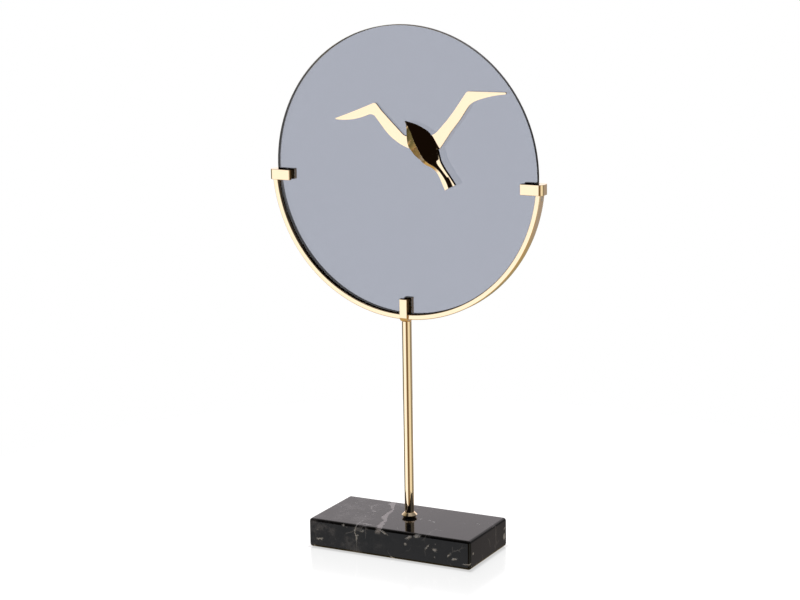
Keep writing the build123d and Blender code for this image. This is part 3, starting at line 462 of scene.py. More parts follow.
# The wide pale vein: a leaning sheet through the top of the slab, left of the pole, that wanders
# and thins.
vein_lean = node(tree, "ShaderNodeVectorMath", {"operation": "DOT_PRODUCT"})
link(tree, drifted, vein_lean.inputs[0])
vein_lean.inputs[1].default_value = (0.957, 0.290, 0.05)
vein_place = -0.0040
off_vein = maths(tree, "ABSOLUTE", maths(tree, "SUBTRACT", vein_lean.outputs["Value"], vein_place))
vein_width = maths(tree, "MULTIPLY_ADD", noise(tree, where, 30.0, 2.0, 0.5), 0.0085, -0.0008)
past_vein = between(tree, maths(tree, "DIVIDE", off_vein, vein_width), 0.55, 1.0)
wide_vein = maths(tree, "SUBTRACT", 1.0, past_vein)
wide_vein = maths(tree, "MULTIPLY", wide_vein, between(tree, left_share.outputs["Z"], 0.024, 0.030))

stone = blend(tree, maths(tree, "MULTIPLY", hairs, 0.75), ground, (0.62, 0.61, 0.62))
stone = blend(tree, maths(tree, "MULTIPLY", curls, 0.30), stone, (0.40, 0.39, 0.41))
stone = blend(tree, maths(tree, "MULTIPLY", flecks, 0.80), stone, (0.60, 0.60, 0.62))
stone = blend(tree, maths(tree, "MULTIPLY", wide_vein, 0.80), stone, (0.50, 0.47, 0.49))
link(tree, stone, shader.inputs["Base Color"])
polish = node(tree, "ShaderNodeMapRange", From_Min=0.3, From_Max=0.7, To_Min=0.06, To_Max=0.13)
link(tree, noise(tree, where, 90.0, 3.0), polish.inputs["Value"])
link(tree, polish.outputs[0], shader.inputs["Roughness"])
grain(tree, shader, hairs, 0.15, 0.00005)
fit(marble_slab, "stand", "marble", black_marble, "base_slab")

# ---------------------------------------------------------------- pads, washer and bolt
# Four rubber pads are glued into seats under the slab. A socket screw with a wide washer
# comes up through the slab and pulls the pole down on it.

pad_tree = bpy.data.node_groups.new("rubber_pads", "GeometryNodeTree")


def size_input(tree, name, value, kind="NodeSocketFloat"):
    """Add a named input to a geometry tree, with its first value."""
    made = tree.interface.new_socket(name, in_out="INPUT", socket_type=kind)
    made.default_value = value
    return made


def run_tree(name, tree, values):
    """Put a geometry tree on an empty mesh, set its inputs by identifier, and bake the result."""
    piece = bpy.data.objects.new(name, bpy.data.meshes.new(name))
    scene.collection.objects.link(piece)
    step = piece.modifiers.new("build", "NODES")
    step.node_group = tree
    for item in tree.interface.items_tree:
        if item.item_type == "SOCKET" and item.in_out == "INPUT" and item.name in values:
            step[item.identifier] = values[item.name]
    return settled(piece)


rubber, tree, shader, where = finish("black_rubber", Base_Color=(0.018, 0.018, 0.018, 1.0), Roughness=0.7)
grain(tree, shader, noise(tree, where, 1500.0, 3.0), 0.4, 0.00005)

pad_tree.interface.new_socket("Geometry", in_out="OUTPUT", socket_type="NodeSocketGeometry")
size_input(pad_tree, "Radius", pad_radius)
size_input(pad_tree, "Thickness", pad_high.z - pad_low.z)
size_input(pad_tree, "Between X", 0.1)
size_input(pad_tree, "Between Y", 0.05)
size_input(pad_tree, "Level", 0.0)
size_input(pad_tree, "Material", rubber, "NodeSocketMaterial")
given = node(pad_tree, "NodeGroupInput").outputs
spots = node(pad_tree, "GeometryNodeMeshGrid", Vertices_X=2, Vertices_Y=2)
link(pad_tree, given["Between X"], spots.inputs["Size X"])
link(pad_tree, given["Between Y"], spots.inputs["Size Y"])
pad = node(pad_tree, "GeometryNodeMeshCylinder", Vertices=64, Side_Segments=1)
link(pad_tree, given["Radius"], pad.inputs["Radius"])
link(pad_tree, given["Thickness"], pad.inputs["Depth"])
copies = node(pad_tree, "GeometryNodeInstanceOnPoints")
link(pad_tree, spots.outputs["Mesh"], copies.inputs["Points"])
link(pad_tree, pad.outputs["Mesh"], copies.inputs["Instance"])
real = node(pad_tree, "GeometryNodeRealizeInstances")
link(pad_tree, copies.outputs[0], real.inputs[0])
lift = node(pad_tree, "ShaderNodeCombineXYZ")
link(pad_tree, given["Level"], lift.inputs["Z"])
moved = node(pad_tree, "GeometryNodeTransform")
link(pad_tree, real.outputs[0], moved.inputs["Geometry"])
link(pad_tree, lift.outputs[0], moved.inputs["Translation"])
painted = node(pad_tree, "GeometryNodeSetMaterial")
link(pad_tree, moved.outputs[0], painted.inputs["Geometry"])
link(pad_tree, given["Material"], painted.inputs["Material"])
link(pad_tree, painted.outputs[0], node(pad_tree, "NodeGroupOutput").inputs[0])
rubber_pads = run_tree("rubber_pads", pad_tree, {
    "Radius": pad_radius - 0.05 * mm,
    "Thickness": pad_high.z - pad_low.z,
    "Between X": pad_spots[2][0] - pad_spots[0][0],
    "Between Y": pad_spots[1][1] - pad_spots[0][1],
    "Level": (pad_low.z + pad_high.z) / 2,
    "Material": rubber,
})
ease(rubber_pads, 0.3 * mm, 2)
fit(rubber_pads, "stand", "black_rubber", rubber, "base_pads")

zinc_steel, tree, shader, where = finish("zinc_steel", Base_Color=(0.55, 0.56, 0.58, 1.0), Metallic=1.0,
                                         Roughness=0.3)
worn = node(tree, "ShaderNodeMapRange", To_Min=0.22, To_Max=0.42)
link(tree, noise(tree, where, 700.0, 4.0), worn.inputs["Value"])
link(tree, worn.outputs[0], shader.inputs["Roughness"])
grain(tree, shader, noise(tree, where, 2600.0, 2.0), 0.15, 0.00002)
dress(zinc_steel, "base_washer", "base_bolt", "pole_foot_insert", "pole_head_insert", "clip_dowels",
      "ring_screw", "body_screws", "clutch_spring")

# ---------------------------------------------------------------- pole and collar
# A brass tube, polished and gilt, stands on the slab in a turned brass collar: two cones that
# meet in a ridge halfway up.

gilt_colour = (0.93, 0.74, 0.505)
gilt, tree, shader, where = finish("polished_gilt", Metallic=1.0, Roughness=0.06)
tone = noise(tree, where, 14.0, 2.0)
link(tree, blend(tree, tone, gilt_colour, (0.91, 0.72, 0.475)), shader.inputs["Base Color"])
buffed = node(tree, "ShaderNodeMapRange", From_Min=0.3, From_Max=0.7, To_Min=0.04, To_Max=0.085)
link(tree, noise(tree, where, 260.0, 5.0, 0.6), buffed.inputs["Value"])
link(tree, buffed.outputs[0], shader.inputs["Roughness"])
grain(tree, shader, noise(tree, where, 55.0, 2.0), 0.06, 0.00006)

tube_low, tube_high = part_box("pole_tube")
tube_radius = (tube_high.x - tube_low.x) / 2
tube_wall = 1.0 * mm
lip = 0.25 * mm
tube_bore = tube_radius - tube_wall
pole_profile = [(tube_bore, tube_low.z), (tube_radius - lip, tube_low.z), (tube_radius, tube_low.z + lip),
                (tube_radius, tube_high.z - lip), (tube_radius - lip, tube_high.z),
                (tube_bore, tube_high.z)]
pole_axis = ((tube_low.x + tube_high.x) / 2, (tube_low.y + tube_high.y) / 2, 0.0)
pole = smooth(turned("pole", pole_profile, pole_axis))
fit(pole, "stand", "gilt_brass", gilt, "pole_tube")

collar_low, collar_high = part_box("pole_collar")
collar_radius = (collar_high.x - collar_low.x) / 2
collar_middle = (collar_low.z + collar_high.z) / 2
collar_bore = tube_radius + 0.05 * mm
collar_ridge = 0.25 * mm
collar_foot = tube_radius + 1.6 * mm
collar_shoulder = tube_radius + 0.5 * mm
collar_break = 0.2 * mm
collar_profile = [(collar_bore, collar_low.z), (collar_foot, collar_low.z),
                  (collar_radius - collar_ridge, collar_middle - collar_ridge),
                  (collar_radius, collar_middle),
                  (collar_radius - collar_ridge, collar_middle + collar_ridge),
                  (collar_shoulder + 0.3 * mm, collar_high.z - collar_break),
                  (collar_shoulder, collar_high.z), (collar_bore, collar_high.z)]
collar = smooth(turned("collar", collar_profile, pole_axis), 20.0)
fit(collar, "stand", "gilt_brass", gilt, "pole_collar")

# ---------------------------------------------------------------- half ring
# A flat brass strip bent on edge to a half circle under the disc, its four long edges rounded.
# It stops inside the two side clips.

disc_low, disc_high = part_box("mirror_disc")
disc_middle = (disc_low + disc_high) / 2
disc_radius = (disc_high.x - disc_low.x) / 2
ring_low, ring_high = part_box("half_ring")
ring_outside = (ring_high.x - ring_low.x) / 2
ring_width = 5.4 * mm
ring_depth = ring_high.y - ring_low.y
ring_edge = 0.8 * mm
ring_path = ring_outside - ring_width / 2
ring_stop = math.asin((disc_middle.z - ring_high.z) / ring_path) - 0.002

ring_tree = bpy.data.node_groups.new("bent_strip", "GeometryNodeTree")
ring_tree.interface.new_socket("Geometry", in_out="OUTPUT", socket_type="NodeSocketGeometry")
size_input(ring_tree, "Radius", ring_path)
size_input(ring_tree, "Width", ring_width)
size_input(ring_tree, "Depth", ring_depth)
size_input(ring_tree, "Edge", ring_edge)
size_input(ring_tree, "Start", 0.0)
size_input(ring_tree, "Sweep", -math.pi)
size_input(ring_tree, "Material", gilt, "NodeSocketMaterial")
given = node(ring_tree, "NodeGroupInput").outputs
bend = node(ring_tree, "GeometryNodeCurveArc", Resolution=220)
link(ring_tree, given["Radius"], bend.inputs["Radius"])
link(ring_tree, given["Start"], bend.inputs["Start Angle"])
link(ring_tree, given["Sweep"], bend.inputs["Sweep Angle"])
section = node(ring_tree, "GeometryNodeCurvePrimitiveQuadrilateral")
link(ring_tree, given["Width"], section.inputs["Width"])
link(ring_tree, given["Depth"], section.inputs["Height"])
corners = node(ring_tree, "GeometryNodeFilletCurve", {"mode": "POLY"}, Count=5)
link(ring_tree, section.outputs[0], corners.inputs["Curve"])
link(ring_tree, given["Edge"], corners.inputs["Radius"])
swept = node(ring_tree, "GeometryNodeCurveToMesh", Fill_Caps=True)
link(ring_tree, bend.outputs[0], swept.inputs["Curve"])
link(ring_tree, corners.outputs[0], swept.inputs["Profile Curve"])
real = node(ring_tree, "GeometryNodeRealizeInstances")
link(ring_tree, swept.outputs[0], real.inputs[0])
painted = node(ring_tree, "GeometryNodeSetMaterial")
link(ring_tree, real.outputs[0], painted.inputs["Geometry"])
link(ring_tree, given["Material"], painted.inputs["Material"])
link(ring_tree, painted.outputs[0], node(ring_tree, "NodeGroupOutput").inputs[0])
lower_ring = run_tree("lower_ring", ring_tree, {
    "Radius": ring_path,
    "Width": ring_width,
    "Depth": ring_depth,
    "Edge": ring_edge,
    "Start": -ring_stop,
    "Sweep": -(math.pi - 2 * ring_stop),
    "Material": gilt,
})
lower_ring.data.transform(Matrix.Translation(disc_middle) @ Matrix.Rotation(math.radians(90), 4, "X"))
shape = bmesh.new()
shape.from_mesh(lower_ring.data)
bmesh.ops.recalc_face_normals(shape, faces=shape.faces)
shape.to_mesh(lower_ring.data)
shape.free()
smooth(lower_ring, 50.0)
fit(lower_ring, "stand", "gilt_brass", gilt, "half_ring")

# ---------------------------------------------------------------- clips
# Three blocks of gilt brass, slotted for the disc. The side clips sit on the ends of the half
# ring on dowels, the bottom one straddles it over the pole. A dark soft channel lines each slot.


def bowed(start, middle, end, steps=16):
    """Points from start, short of end, along the arc through three points."""
    (ax, ay), (bx, by), (cx, cy) = start, middle, end
    twice = 2 * (ax * (by - cy) + bx * (cy - ay) + cx * (ay - by))
    square_a, square_b, square_c = ax * ax + ay * ay, bx * bx + by * by, cx * cx + cy * cy
    hub_x = (square_a * (by - cy) + square_b * (cy - ay) + square_c * (ay - by)) / twice
    hub_y = (square_a * (cx - bx) + square_b * (ax - cx) + square_c * (bx - ax)) / twice
    radius = math.hypot(ax - hub_x, ay - hub_y)
    first = math.atan2(ay - hub_y, ax - hub_x)
    halfway = (math.atan2(by - hub_y, bx - hub_x) - first + math.pi) % (2 * math.pi) - math.pi
    last = (math.atan2(cy - hub_y, cx - hub_x) - first) % (2 * math.pi)
    if halfway < 0:
        last -= 2 * math.pi
    bearings = [first + last * step / steps for step in range(steps)]
    return [(hub_x + radius * math.cos(bearing), hub_y + radius * math.sin(bearing))
            for bearing in bearings]


def rounded(corner, before, after, radius, steps=8):
    """The points of a round that takes the place of an outline's corner."""
    corner, before, after = Vector(corner), Vector(before), Vector(after)
    one = (before - corner).normalized()
    two = (after - corner).normalized()
    half = one.angle(two) / 2
    reach = radius / math.tan(half)
    hub = corner + (one + two).normalized() * (radius / math.sin(half))
    first = corner + one * reach - hub
    last = corner + two * reach - hub
    spread = first.angle(last)
    points = []
    for step in range(steps + 1):
        share = step / steps
        arm = first * math.sin((1 - share) * spread) + last * math.sin(share * spread)
        points.append(tuple(hub + arm / math.sin(spread)))
    return points


def plate(name, outline, low, high, lay):
    """A flat piece: an outline in its plane, between two levels, laid by a function of (u, v, level)."""
    shape = bmesh.new()
    floor = [shape.verts.new(lay(u, v, low)) for u, v in outline]
    roof = [shape.verts.new(lay(u, v, high)) for u, v in outline]
    count = len(outline)
    shape.faces.new(floor)
    shape.faces.new(roof)
    for index in range(count):
        after = (index + 1) % count
        shape.faces.new((floor[index], floor[after], roof[after], roof[index]))
    return to_mesh(name, shape)


clip_low, clip_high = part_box("clip_right")
foot_low, foot_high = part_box("clip_bottom")
jaw_tip = clip_low.x
clip_outside = clip_high.x
half_clip = (clip_high.y - clip_low.y) / 2
clip_corner = 5.0 * mm
jaw_corner = 0.8 * mm
half_slot = 3.3 * mm
slot_end = ring_outside - ring_width
clip_outline = [(slot_end, half_slot), (slot_end, -half_slot)]
clip_outline += [(jaw_tip, -half_slot)]
clip_outline += rounded((jaw_tip, -half_clip), (jaw_tip, 0), (clip_outside, -half_clip), jaw_corner, 4)
clip_outline += rounded((clip_outside, -half_clip), (jaw_tip, -half_clip), (clip_outside, 0), clip_corner)
clip_outline += rounded((clip_outside, half_clip), (clip_outside, 0), (jaw_tip, half_clip), clip_corner)
clip_outline += rounded((jaw_tip, half_clip), (clip_outside, half_clip), (jaw_tip, 0), jaw_corner, 4)
clip_outline += [(jaw_tip, half_slot)]
clip_edge = 0.35 * mm
passage_play = 0.05 * mm
laid_out = {
    "clip_right": ("right_clip", clip_low.z, clip_high.z,
                   lambda u, v, level: (u, disc_middle.y + v, level)),
    "clip_left": ("left_clip", clip_low.z, clip_high.z,
                  lambda u, v, level: (-u, disc_middle.y + v, level)),
    "clip_bottom": ("bottom_clip", foot_low.x, foot_high.x,
                    lambda u, v, level: (level, disc_middle.y + v, disc_middle.z - u)),
}
for replaced, (name, low, high, lay) in laid_out.items():
    clip = plate(name, clip_outline, low, high, lay)
    if replaced == "clip_bottom":
        passage_inside = slot_end - passage_play
        passage_outside = ring_outside + passage_play
        passage_profile = [(passage_inside, ring_low.y), (passage_outside, ring_low.y),
                           (passage_outside, ring_high.y), (passage_inside, ring_high.y)]
        cut(clip, [turned("passage", passage_profile, (0, 0, disc_middle.z), "Y", 360)])
    ease(clip, clip_edge)
    fit(clip, "stand", "gilt_brass", gilt, replaced)

soft_channel, tree, shader, where = finish("soft_channel", Base_Color=(0.02, 0.02, 0.02, 1.0),
                                           Roughness=0.6)
grain(tree, shader, noise(tree, where, 2200.0, 3.0), 0.3, 0.00003)
dress(soft_channel, "clip_liners")

# ---------------------------------------------------------------- mirror disc
# Smoked float glass with a fine ground arris, silvered and painted on its back and blacked round
# its edge: four layers within the disc's size. One hole passes the movement's bush.

arris = 0.7 * mm
paint_thickness = 0.3 * mm
silver_thickness = 0.1 * mm
hole_radius = 4.5 * mm
nut_low, nut_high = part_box("dial_nut")
shaft_x = (nut_low.x + nut_high.x) / 2
shaft_z = (nut_low.z + nut_high.z) / 2
disc_front, disc_back = disc_low.y, disc_high.y
silver_front = disc_back - paint_thickness - silver_thickness
paint_front = disc_back - paint_thickness


def disc_layer(name, profile):
    """One layer of the disc, bored for the bush."""
    layer = turned(name, profile, disc_middle, "Y", 384)
    bush_hole = rod("bush_hole", hole_radius, disc_front - mm, disc_back + mm,
                    (shaft_x, 0, shaft_z), "Y", 96)
    return cut(layer, [bush_hole])


# Levels along the disc's axis, from its middle.
front_face = disc_front - disc_middle.y
back_face = disc_back - disc_middle.y
silver_level = silver_front - disc_middle.y
paint_level = paint_front - disc_middle.y
bond = 0.04 * mm
rim_paint = 0.25 * mm
glass_rim = disc_radius - rim_paint
rim_front = front_face + arris - rim_paint
rim_back = back_face - arris + rim_paint
back_arris = disc_radius - arris + (back_face - silver_level)
silver_edge = back_arris - silver_thickness
glass_profile = [(0.0, front_face), (disc_radius - arris, front_face), (glass_rim, rim_front),
                 (glass_rim, rim_back), (back_arris, silver_level), (0.0, silver_level)]
rim_profile = [(glass_rim - bond, rim_front), (glass_rim, rim_front), (disc_radius, front_face + arris),
               (disc_radius, back_face - arris), (glass_rim, rim_back), (glass_rim - bond, rim_back)]
silver_profile = [(0.0, silver_level - bond), (back_arris, silver_level - bond),
                  (silver_edge, paint_level), (0.0, paint_level)]
paint_profile = [(0.0, paint_level - bond), (silver_edge, paint_level - bond),
                 (disc_radius - arris, back_face), (0.0, back_face)]

smoked_glass, tree, shader, where = finish("smoked_glass", Base_Color=(0.315, 0.325, 0.355, 1.0),
                                           IOR=1.52, Transmission_Weight=1.0)
clean = node(tree, "ShaderNodeMapRange", To_Min=0.0, To_Max=0.012)
link(tree, noise(tree, where, 30.0, 2.0), clean.inputs["Value"])
link(tree, clean.outputs[0], shader.inputs["Roughness"])
glass = smooth(disc_layer("disc_glass", glass_profile), 20.0)
fit(glass, "stand", "smoked_mirror", smoked_glass, "mirror_disc")

silver, tree, shader, where = finish("silvering", Metallic=1.0, Roughness=0.01)
link(tree, blend(tree, noise(tree, where, 12.0, 2.0), (0.94, 0.94, 0.95), (0.92, 0.92, 0.93)),
     shader.inputs["Base Color"])
silvering = smooth(disc_layer("disc_silvering", silver_profile), 20.0)
fit(silvering, "stand", "smoked_mirror", silver)

back_paint, tree, shader, where = finish("back_paint", Roughness=0.55)
link(tree, blend(tree, noise(tree, where, 60.0, 4.0), (0.055, 0.057, 0.062), (0.075, 0.077, 0.082)),
     shader.inputs["Base Color"])
grain(tree, shader, noise(tree, where, 900.0, 4.0), 0.35, 0.00006)
painted_back = smooth(disc_layer("disc_back_paint", paint_profile), 20.0)
fit(painted_back, "stand", "smoked_mirror", back_paint)

edge_black, tree, shader, where = finish("edge_black", Base_Color=(0.006, 0.006, 0.006, 1.0),
                                         Roughness=0.35, Specular_IOR_Level=0.25)
grain(tree, shader, noise(tree, where, 1200.0, 3.0), 0.2, 0.00003)
painted_rim = smooth(turned("disc_edge_paint", rim_profile, disc_middle, "Y", 384), 20.0)
fit(painted_rim, "stand", "smoked_mirror", edge_black)

# ---------------------------------------------------------------- fixing through the glass
# A threaded brass bush comes through the glass from the movement. A washer and a thin nut hold it
# in front, and a soft washer lies between the movement and the glass.

plain_brass, tree, shader, where = finish("turned_brass", Base_Color=(0.70, 0.52, 0.25, 1.0),
                                          Metallic=1.0)
tool_marks = node(tree, "ShaderNodeMapRange", To_Min=0.2, To_Max=0.34)
link(tree, noise(tree, where, 1800.0, 3.0), tool_marks.inputs["Value"])
link(tree, tool_marks.outputs[0], shader.inputs["Roughness"])
dress(plain_brass, "hand_bush", "dial_washer", "dial_nut", "minute_shaft")
dress(rubber, "seal_washer")

# ---------------------------------------------------------------- the wings, which are the hands
# Two plates of gilt aluminium with polished faces and broken edges. The left wing is the hour
# hand, pressed on the hour pipe; the right wing is the minute hand, in front of it.


def facing(u, v, level):
    """Lay an outline in front of the disc: right and up from the hand shaft, at a depth."""
    return (shaft_x + u * mm, level, shaft_z + v * mm)


def hub(radius, low, high):
    """The round boss of a hand."""
    return rod("hub", radius, low, high, (shaft_x, 0, shaft_z), "Y", 96)


hour_low, hour_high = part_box("hour_wing")
minute_low, minute_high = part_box("minute_wing")
wing_edge = 0.22 * mm
hour_hub = 10.5 * mm
hour_bore = 2.5 * mm
nut_pocket_radius = 8.1 * mm
nut_play = 0.3 * mm
minute_hub = 9.5 * mm
minute_bore = 1.5 * mm
body_screw_hole = 1.55 * mm
hour_elbow, hour_tip = (-57.1, 39.4), (-102.4, 21.9)
hour_armpit = (-46.5, 15.2)
hour_outline = bowed(hour_elbow, (-79.0, 30.6), hour_tip)
hour_outline += [hour_tip, (-101.0, 20.9)] + bowed((-98.0, 20.7), (-79.2, 22.2), (-63.5, 27.1))
hour_outline += bowed((-63.5, 27.1), (-58.5, 27.6), (-54.5, 25.2), 6)
hour_outline += bowed(hour_armpit, (-34.6, 3.6), (-17.5, -5.2))
hour_outline += [(-17.5, -5.2), (-6.0, -7.0), (-6.0, 7.0)]
hour_outline += bowed((-17.0, 6.5), (-22.0, 7.6), (-26.0, 10.8), 6)
hour_outline += [(-26.0, 10.8), (-36.1, 20.4), (-47.7, 31.6), (-53.4, 38.3), (-54.8, 39.4)]

hour_wing = plate("hour_wing_plate", hour_outline, hour_low.y, hour_high.y, facing)
cut(hour_wing, [hub(hour_hub, hour_low.y, hour_high.y)], "UNION")
nut_pocket = nut_low.y - nut_play
cut(hour_wing, [hub(hour_bore, hour_low.y - mm, hour_high.y + mm),
                hub(nut_pocket_radius, nut_pocket, hour_high.y + mm)])
ease(hour_wing, wing_edge)
fit(hour_wing, "hour_hand", "gilt_wing", gilt, "hour_wing")

minute_outline = [(51.8, 55.4), (92.6, 55.7), (93.8, 55.2), (93.3, 54.1)]
minute_outline += bowed((92.0, 53.7), (72.5, 50.1), (60.0, 46.0))
minute_outline += bowed((60.0, 46.0), (55.2, 43.2), (51.2, 39.0), 8)
minute_outline += [(51.2, 39.0), (42.4, 26.2), (32.4, 14.0), (23.0, 0.8), (19.2, -4.2)]
minute_outline += [(6.0, -7.0), (4.0, 7.0), (11.4, 9.9)]
minute_outline += bowed((11.4, 9.9), (15.4, 12.1), (19.0, 15.6), 6)
minute_outline += [(19.0, 15.6), (28.4, 25.7), (35.6, 34.6), (42.9, 44.7), (49.6, 54.0)]

minute_wing = plate("minute_wing_plate", minute_outline, minute_low.y, minute_high.y, facing)
cut(minute_wing, [hub(minute_hub, minute_low.y, minute_high.y)], "UNION")
body_bearing = math.radians(-51.3)
screw_reach = 6.5 * mm
screw_spots = [(shaft_x + way * screw_reach * math.cos(body_bearing), 0,
                shaft_z + way * screw_reach * math.sin(body_bearing)) for way in (-1, 1)]
minute_bores = [hub(minute_bore, minute_low.y - mm, minute_high.y + mm)]
minute_bores += [rod("screw_hole", body_screw_hole, minute_low.y - mm, minute_high.y + mm, spot, "Y", 32)
                 for spot in screw_spots]
cut(minute_wing, minute_bores)
ease(minute_wing, wing_edge)
fit(minute_wing, "minute_hand", "gilt_wing", gilt, "minute_wing")

# ---------------------------------------------------------------- the bird's body
# A moulded cap, metallised like the wings, screwed to the minute wing from behind. A crest runs
# down it from the beak; past the waist it becomes a step between the two flats of the tail, whose
# end is cut a little aslant.

body_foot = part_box("bird_body")[1].y
along = Vector((math.cos(body_bearing), 0.0, math.sin(body_bearing)))
aside = Vector((-along.z, 0.0, along.x))
forward = Vector((0.0, -1.0, 0.0))
beak = Vector((shaft_x - 19.3 * mm, body_foot, shaft_z + 22.7 * mm))
# Along the axis from the beak: left edge, crest, foot of the slope, right edge (all across the
# axis), then the heights of the left edge, the crest, the foot of the slope and the right edge.
body_sections = [
    (0.3, -0.5, 0.1, 0.5, 0.7, 0.8, 1.2, 0.9, 0.8),
    (4.0, -1.6, 0.3, 3.3, 3.6, 0.9, 2.7, 1.0, 0.9),
    (8.0, -4.2, 0.6, 6.4, 6.7, 1.0, 4.1, 1.1, 1.0),
    (12.7, -7.8, 0.6, 9.4, 9.7, 1.0, 5.5, 1.1, 1.0),
    (18.0, -11.2, -0.2, 12.0, 12.3, 1.0, 7.0, 1.2, 1.0),
    (23.0, -13.3, -1.2, 14.1, 14.4, 1.0, 7.9, 1.2, 1.0),
    (28.7, -13.4, -2.2, 14.7, 15.0, 1.0, 8.2, 1.2, 1.0),
    (34.0, -12.9, -3.1, 14.2, 14.6, 1.2, 8.2, 1.3, 1.1),
    (41.2, -10.8, -4.1, 12.9, 13.6, 1.9, 7.8, 1.5, 1.3),
    (44.5, -9.6, -4.0, 10.6, 12.6, 3.0, 7.6, 2.9, 2.8),
    (47.5, -8.2, -3.6, 7.6, 11.6, 4.4, 7.3, 3.4, 3.3),
    (51.5, -5.8, -2.4, 5.2, 9.6, 5.6, 6.9, 3.8, 3.7),
    (57.0, -2.8, 0.0, 3.6, 7.6, 5.5, 6.3, 4.1, 4.0),
    (64.7, -1.9, 1.6, 3.9, 6.6, 5.2, 5.9, 4.3, 4.2),
    (75.2, -4.0, 0.9, 4.1, 6.2, 5.2, 5.6, 4.1, 4.0),
    (83.4, -5.9, -1.3, 2.8, 5.7, 5.2, 5.6, 3.9, 3.8),
]
body_steps = 5
tail_start = 70.0
tail_slant = 0.2 / 13.4
thread_radius = 0.8 * mm
thread_depth = 3.0 * mm


def eased(values, share):
    """A smooth curve through the second and third of four values."""
    a, b, c, d = values
    return b + 0.5 * share * (c - a + share * (2 * a - 5 * b + 4 * c - d + share * (3 * (b - c) + d - a)))


fine_sections = []
last_section = len(body_sections) - 1
for index in range(last_section):
    near = [body_sections[min(max(index + offset, 0), last_section)] for offset in (-1, 0, 1, 2)]
    for step in range(body_steps):
        fine_sections.append([eased(values, step / body_steps) for values in zip(*near)])
fine_sections.append(list(body_sections[-1]))

shape = bmesh.new()
rows = []
for distance, left, crest, slope, right, left_up, crest_up, slope_up, right_up in fine_sections:
    spine = beak + along * (distance * mm)
    slant = tail_slant * max(0.0, distance - tail_start)
    across_row = [(left, 0.0), (left, left_up), (crest, crest_up), (slope, slope_up), (right, right_up),
                  (right, 0.0)]
    rows.append([shape.verts.new(spine + (aside + along * slant) * (side * mm) + forward * (up * mm))
                 for side, up in across_row])
for row, later in zip(rows, rows[1:]):
    for index in range(len(row)):
        after = (index + 1) % len(row)
        shape.faces.new((row[index], later[index], later[after], row[after]))
shape.faces.new(rows[0])
shape.faces.new(rows[-1])
bird_body = to_mesh("bird_body_cap", shape)
cut(bird_body, [rod("screw_hole", thread_radius, body_foot - thread_depth, body_foot + mm, spot, "Y", 32)
                for spot in screw_spots])
ease(bird_body, 0.28 * mm, 3, 24.0)
fit(bird_body, "minute_hand", "gilt_body", gilt, "bird_body")
for part in (hour_wing, minute_wing, bird_body):
    part.visible_transmission = False

# ---------------------------------------------------------------- movement case
# The two halves of a black moulded case, held by three small screws, with an open battery bay
# below. The outside has a fine spark texture.

case_black, tree, shader, where = finish("case_black", Base_Color=(0.02, 0.02, 0.022, 1.0), Roughness=0.5)
grain(tree, shader, noise(tree, where, 2400.0, 3.0, 0.7), 0.5, 0.00006)
dress(case_black, "case_front", "case_back")
dress(zinc_steel, "case_screws")

# ---------------------------------------------------------------- gear train and knob
# White acetal wheels on thin arbors, moulded in one piece each, and the setting knob behind.

acetal, tree, shader, where = finish("white_acetal", Roughness=0.4)
link(tree, blend(tree, noise(tree, where, 300.0, 2.0), (0.80, 0.79, 0.75), (0.74, 0.73, 0.69)),
     shader.inputs["Base Color"])
grain(tree, shader, noise(tree, where, 2000.0, 2.0), 0.15, 0.00003)
dress(acetal, "hour_wheel", "minute_wheel", "centre_wheel", "third_wheel", "seconds_wheel", "step_wheel",
      "set_knob", "coil_bobbin")

# ---------------------------------------------------------------- motor
# A stepping motor: a laminated steel stator and core, a moulded bobbin wound with enamelled wire,
# and a magnet rotor with its pinion.

core_steel, tree, shader, where = finish("core_steel", Base_Color=(0.32, 0.32, 0.34, 1.0), Metallic=1.0)
rolled = node(tree, "ShaderNodeMapRange", To_Min=0.3, To_Max=0.5)
link(tree, noise(tree, where, 900.0, 3.0), rolled.inputs["Value"])
link(tree, rolled.outputs[0], shader.inputs["Roughness"])
dress(core_steel, "stator", "coil_core", "rotor")

copper, tree, shader, where = finish("enamelled_wire", Metallic=0.9, Roughness=0.28)
wires = node(tree, "ShaderNodeTexWave", {"bands_direction": "X"}, Scale=1200.0)
link(tree, where, wires.inputs["Vector"])
link(tree, blend(tree, wires.outputs["Fac"], (0.42, 0.13, 0.05), (0.65, 0.26, 0.10)),
     shader.inputs["Base Color"])
grain(tree, shader, wires.outputs["Fac"], 0.6, 0.0001)
dress(copper, "coil_winding")

# ---------------------------------------------------------------- board
# A green circuit board with one chip under a blob of black epoxy and a canned quartz crystal. The
# can and the battery contacts are nickel plated.

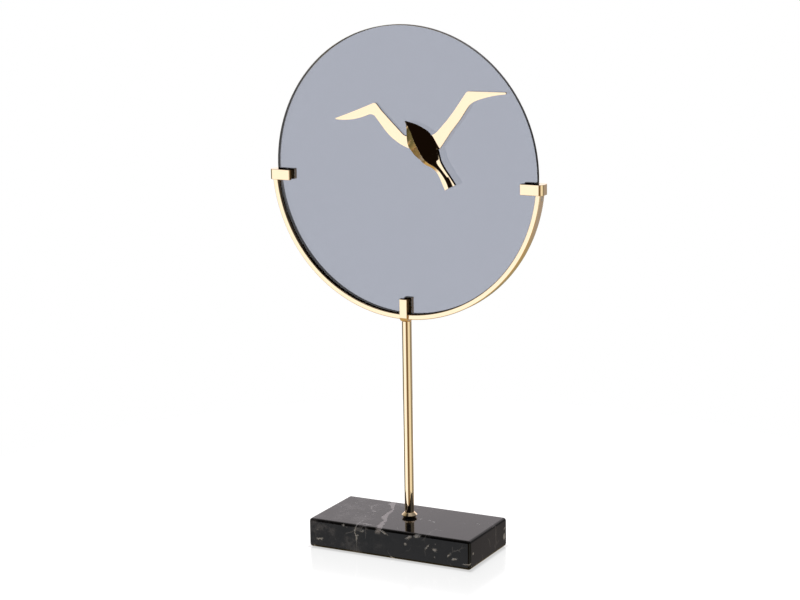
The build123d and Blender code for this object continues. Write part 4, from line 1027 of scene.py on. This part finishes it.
board_green, tree, shader, where = finish("board_green", Roughness=0.35)
tracks = node(tree, "ShaderNodeTexVoronoi", {"feature": "DISTANCE_TO_EDGE", "distance": "CHEBYCHEV"},
              Scale=520.0)
link(tree, where, tracks.inputs["Vector"])
copper_line = maths(tree, "SUBTRACT", 1.0, between(tree, tracks.outputs["Distance"], 0.05, 0.09))
link(tree, blend(tree, copper_line, (0.010, 0.085, 0.035), (0.03, 0.17, 0.07)),
     shader.inputs["Base Color"])
dress(board_green, "circuit_board")

epoxy, tree, shader, where = finish("chip_epoxy", Base_Color=(0.008, 0.008, 0.008, 1.0), Roughness=0.15)
grain(tree, shader, noise(tree, where, 500.0, 2.0), 0.3, 0.0001)
dress(epoxy, "board_chip")

nickel, tree, shader, where = finish("nickel_plate", Base_Color=(0.66, 0.64, 0.60, 1.0), Metallic=1.0)
bright = node(tree, "ShaderNodeMapRange", To_Min=0.14, To_Max=0.26)
link(tree, noise(tree, where, 1200.0, 2.0), bright.inputs["Value"])
link(tree, bright.outputs[0], shader.inputs["Roughness"])
dress(nickel, "quartz_crystal", "contact_positive", "contact_negative")

# ---------------------------------------------------------------- battery
# One round cell lies in the open bay below the movement: a plain dark sleeve with a gold band at
# its positive end, and bare metal ends.

battery_low, battery_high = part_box("battery_cell")
sleeve, tree, shader, where = finish("battery_sleeve", Roughness=0.25)
along_cell = node(tree, "ShaderNodeSeparateXYZ")
link(tree, where, along_cell.inputs[0])
cell_share = node(tree, "ShaderNodeMapRange", From_Min=battery_low.x, From_Max=battery_high.x)
link(tree, along_cell.outputs["X"], cell_share.inputs["Value"])
bare_end = (0.45, 0.45, 0.44)
dark_sleeve = (0.02, 0.03, 0.045)
gold_band = (0.55, 0.40, 0.14)
cell_marks = [(0.0, bare_end, 1.0), (0.018, bare_end, 1.0), (0.022, dark_sleeve, 0.0),
              (0.70, dark_sleeve, 0.0), (0.705, gold_band, 0.6), (0.965, gold_band, 0.6),
              (0.97, bare_end, 1.0), (1.0, bare_end, 1.0)]
cell_colour = ramp(tree, cell_share.outputs[0], [(place, colour) for place, colour, metal in cell_marks])
cell_metal = ramp(tree, cell_share.outputs[0], [(place, metal) for place, colour, metal in cell_marks])
link(tree, cell_colour, shader.inputs["Base Color"])
link(tree, cell_metal, shader.inputs["Metallic"])
dress(sleeve, "battery_cell")
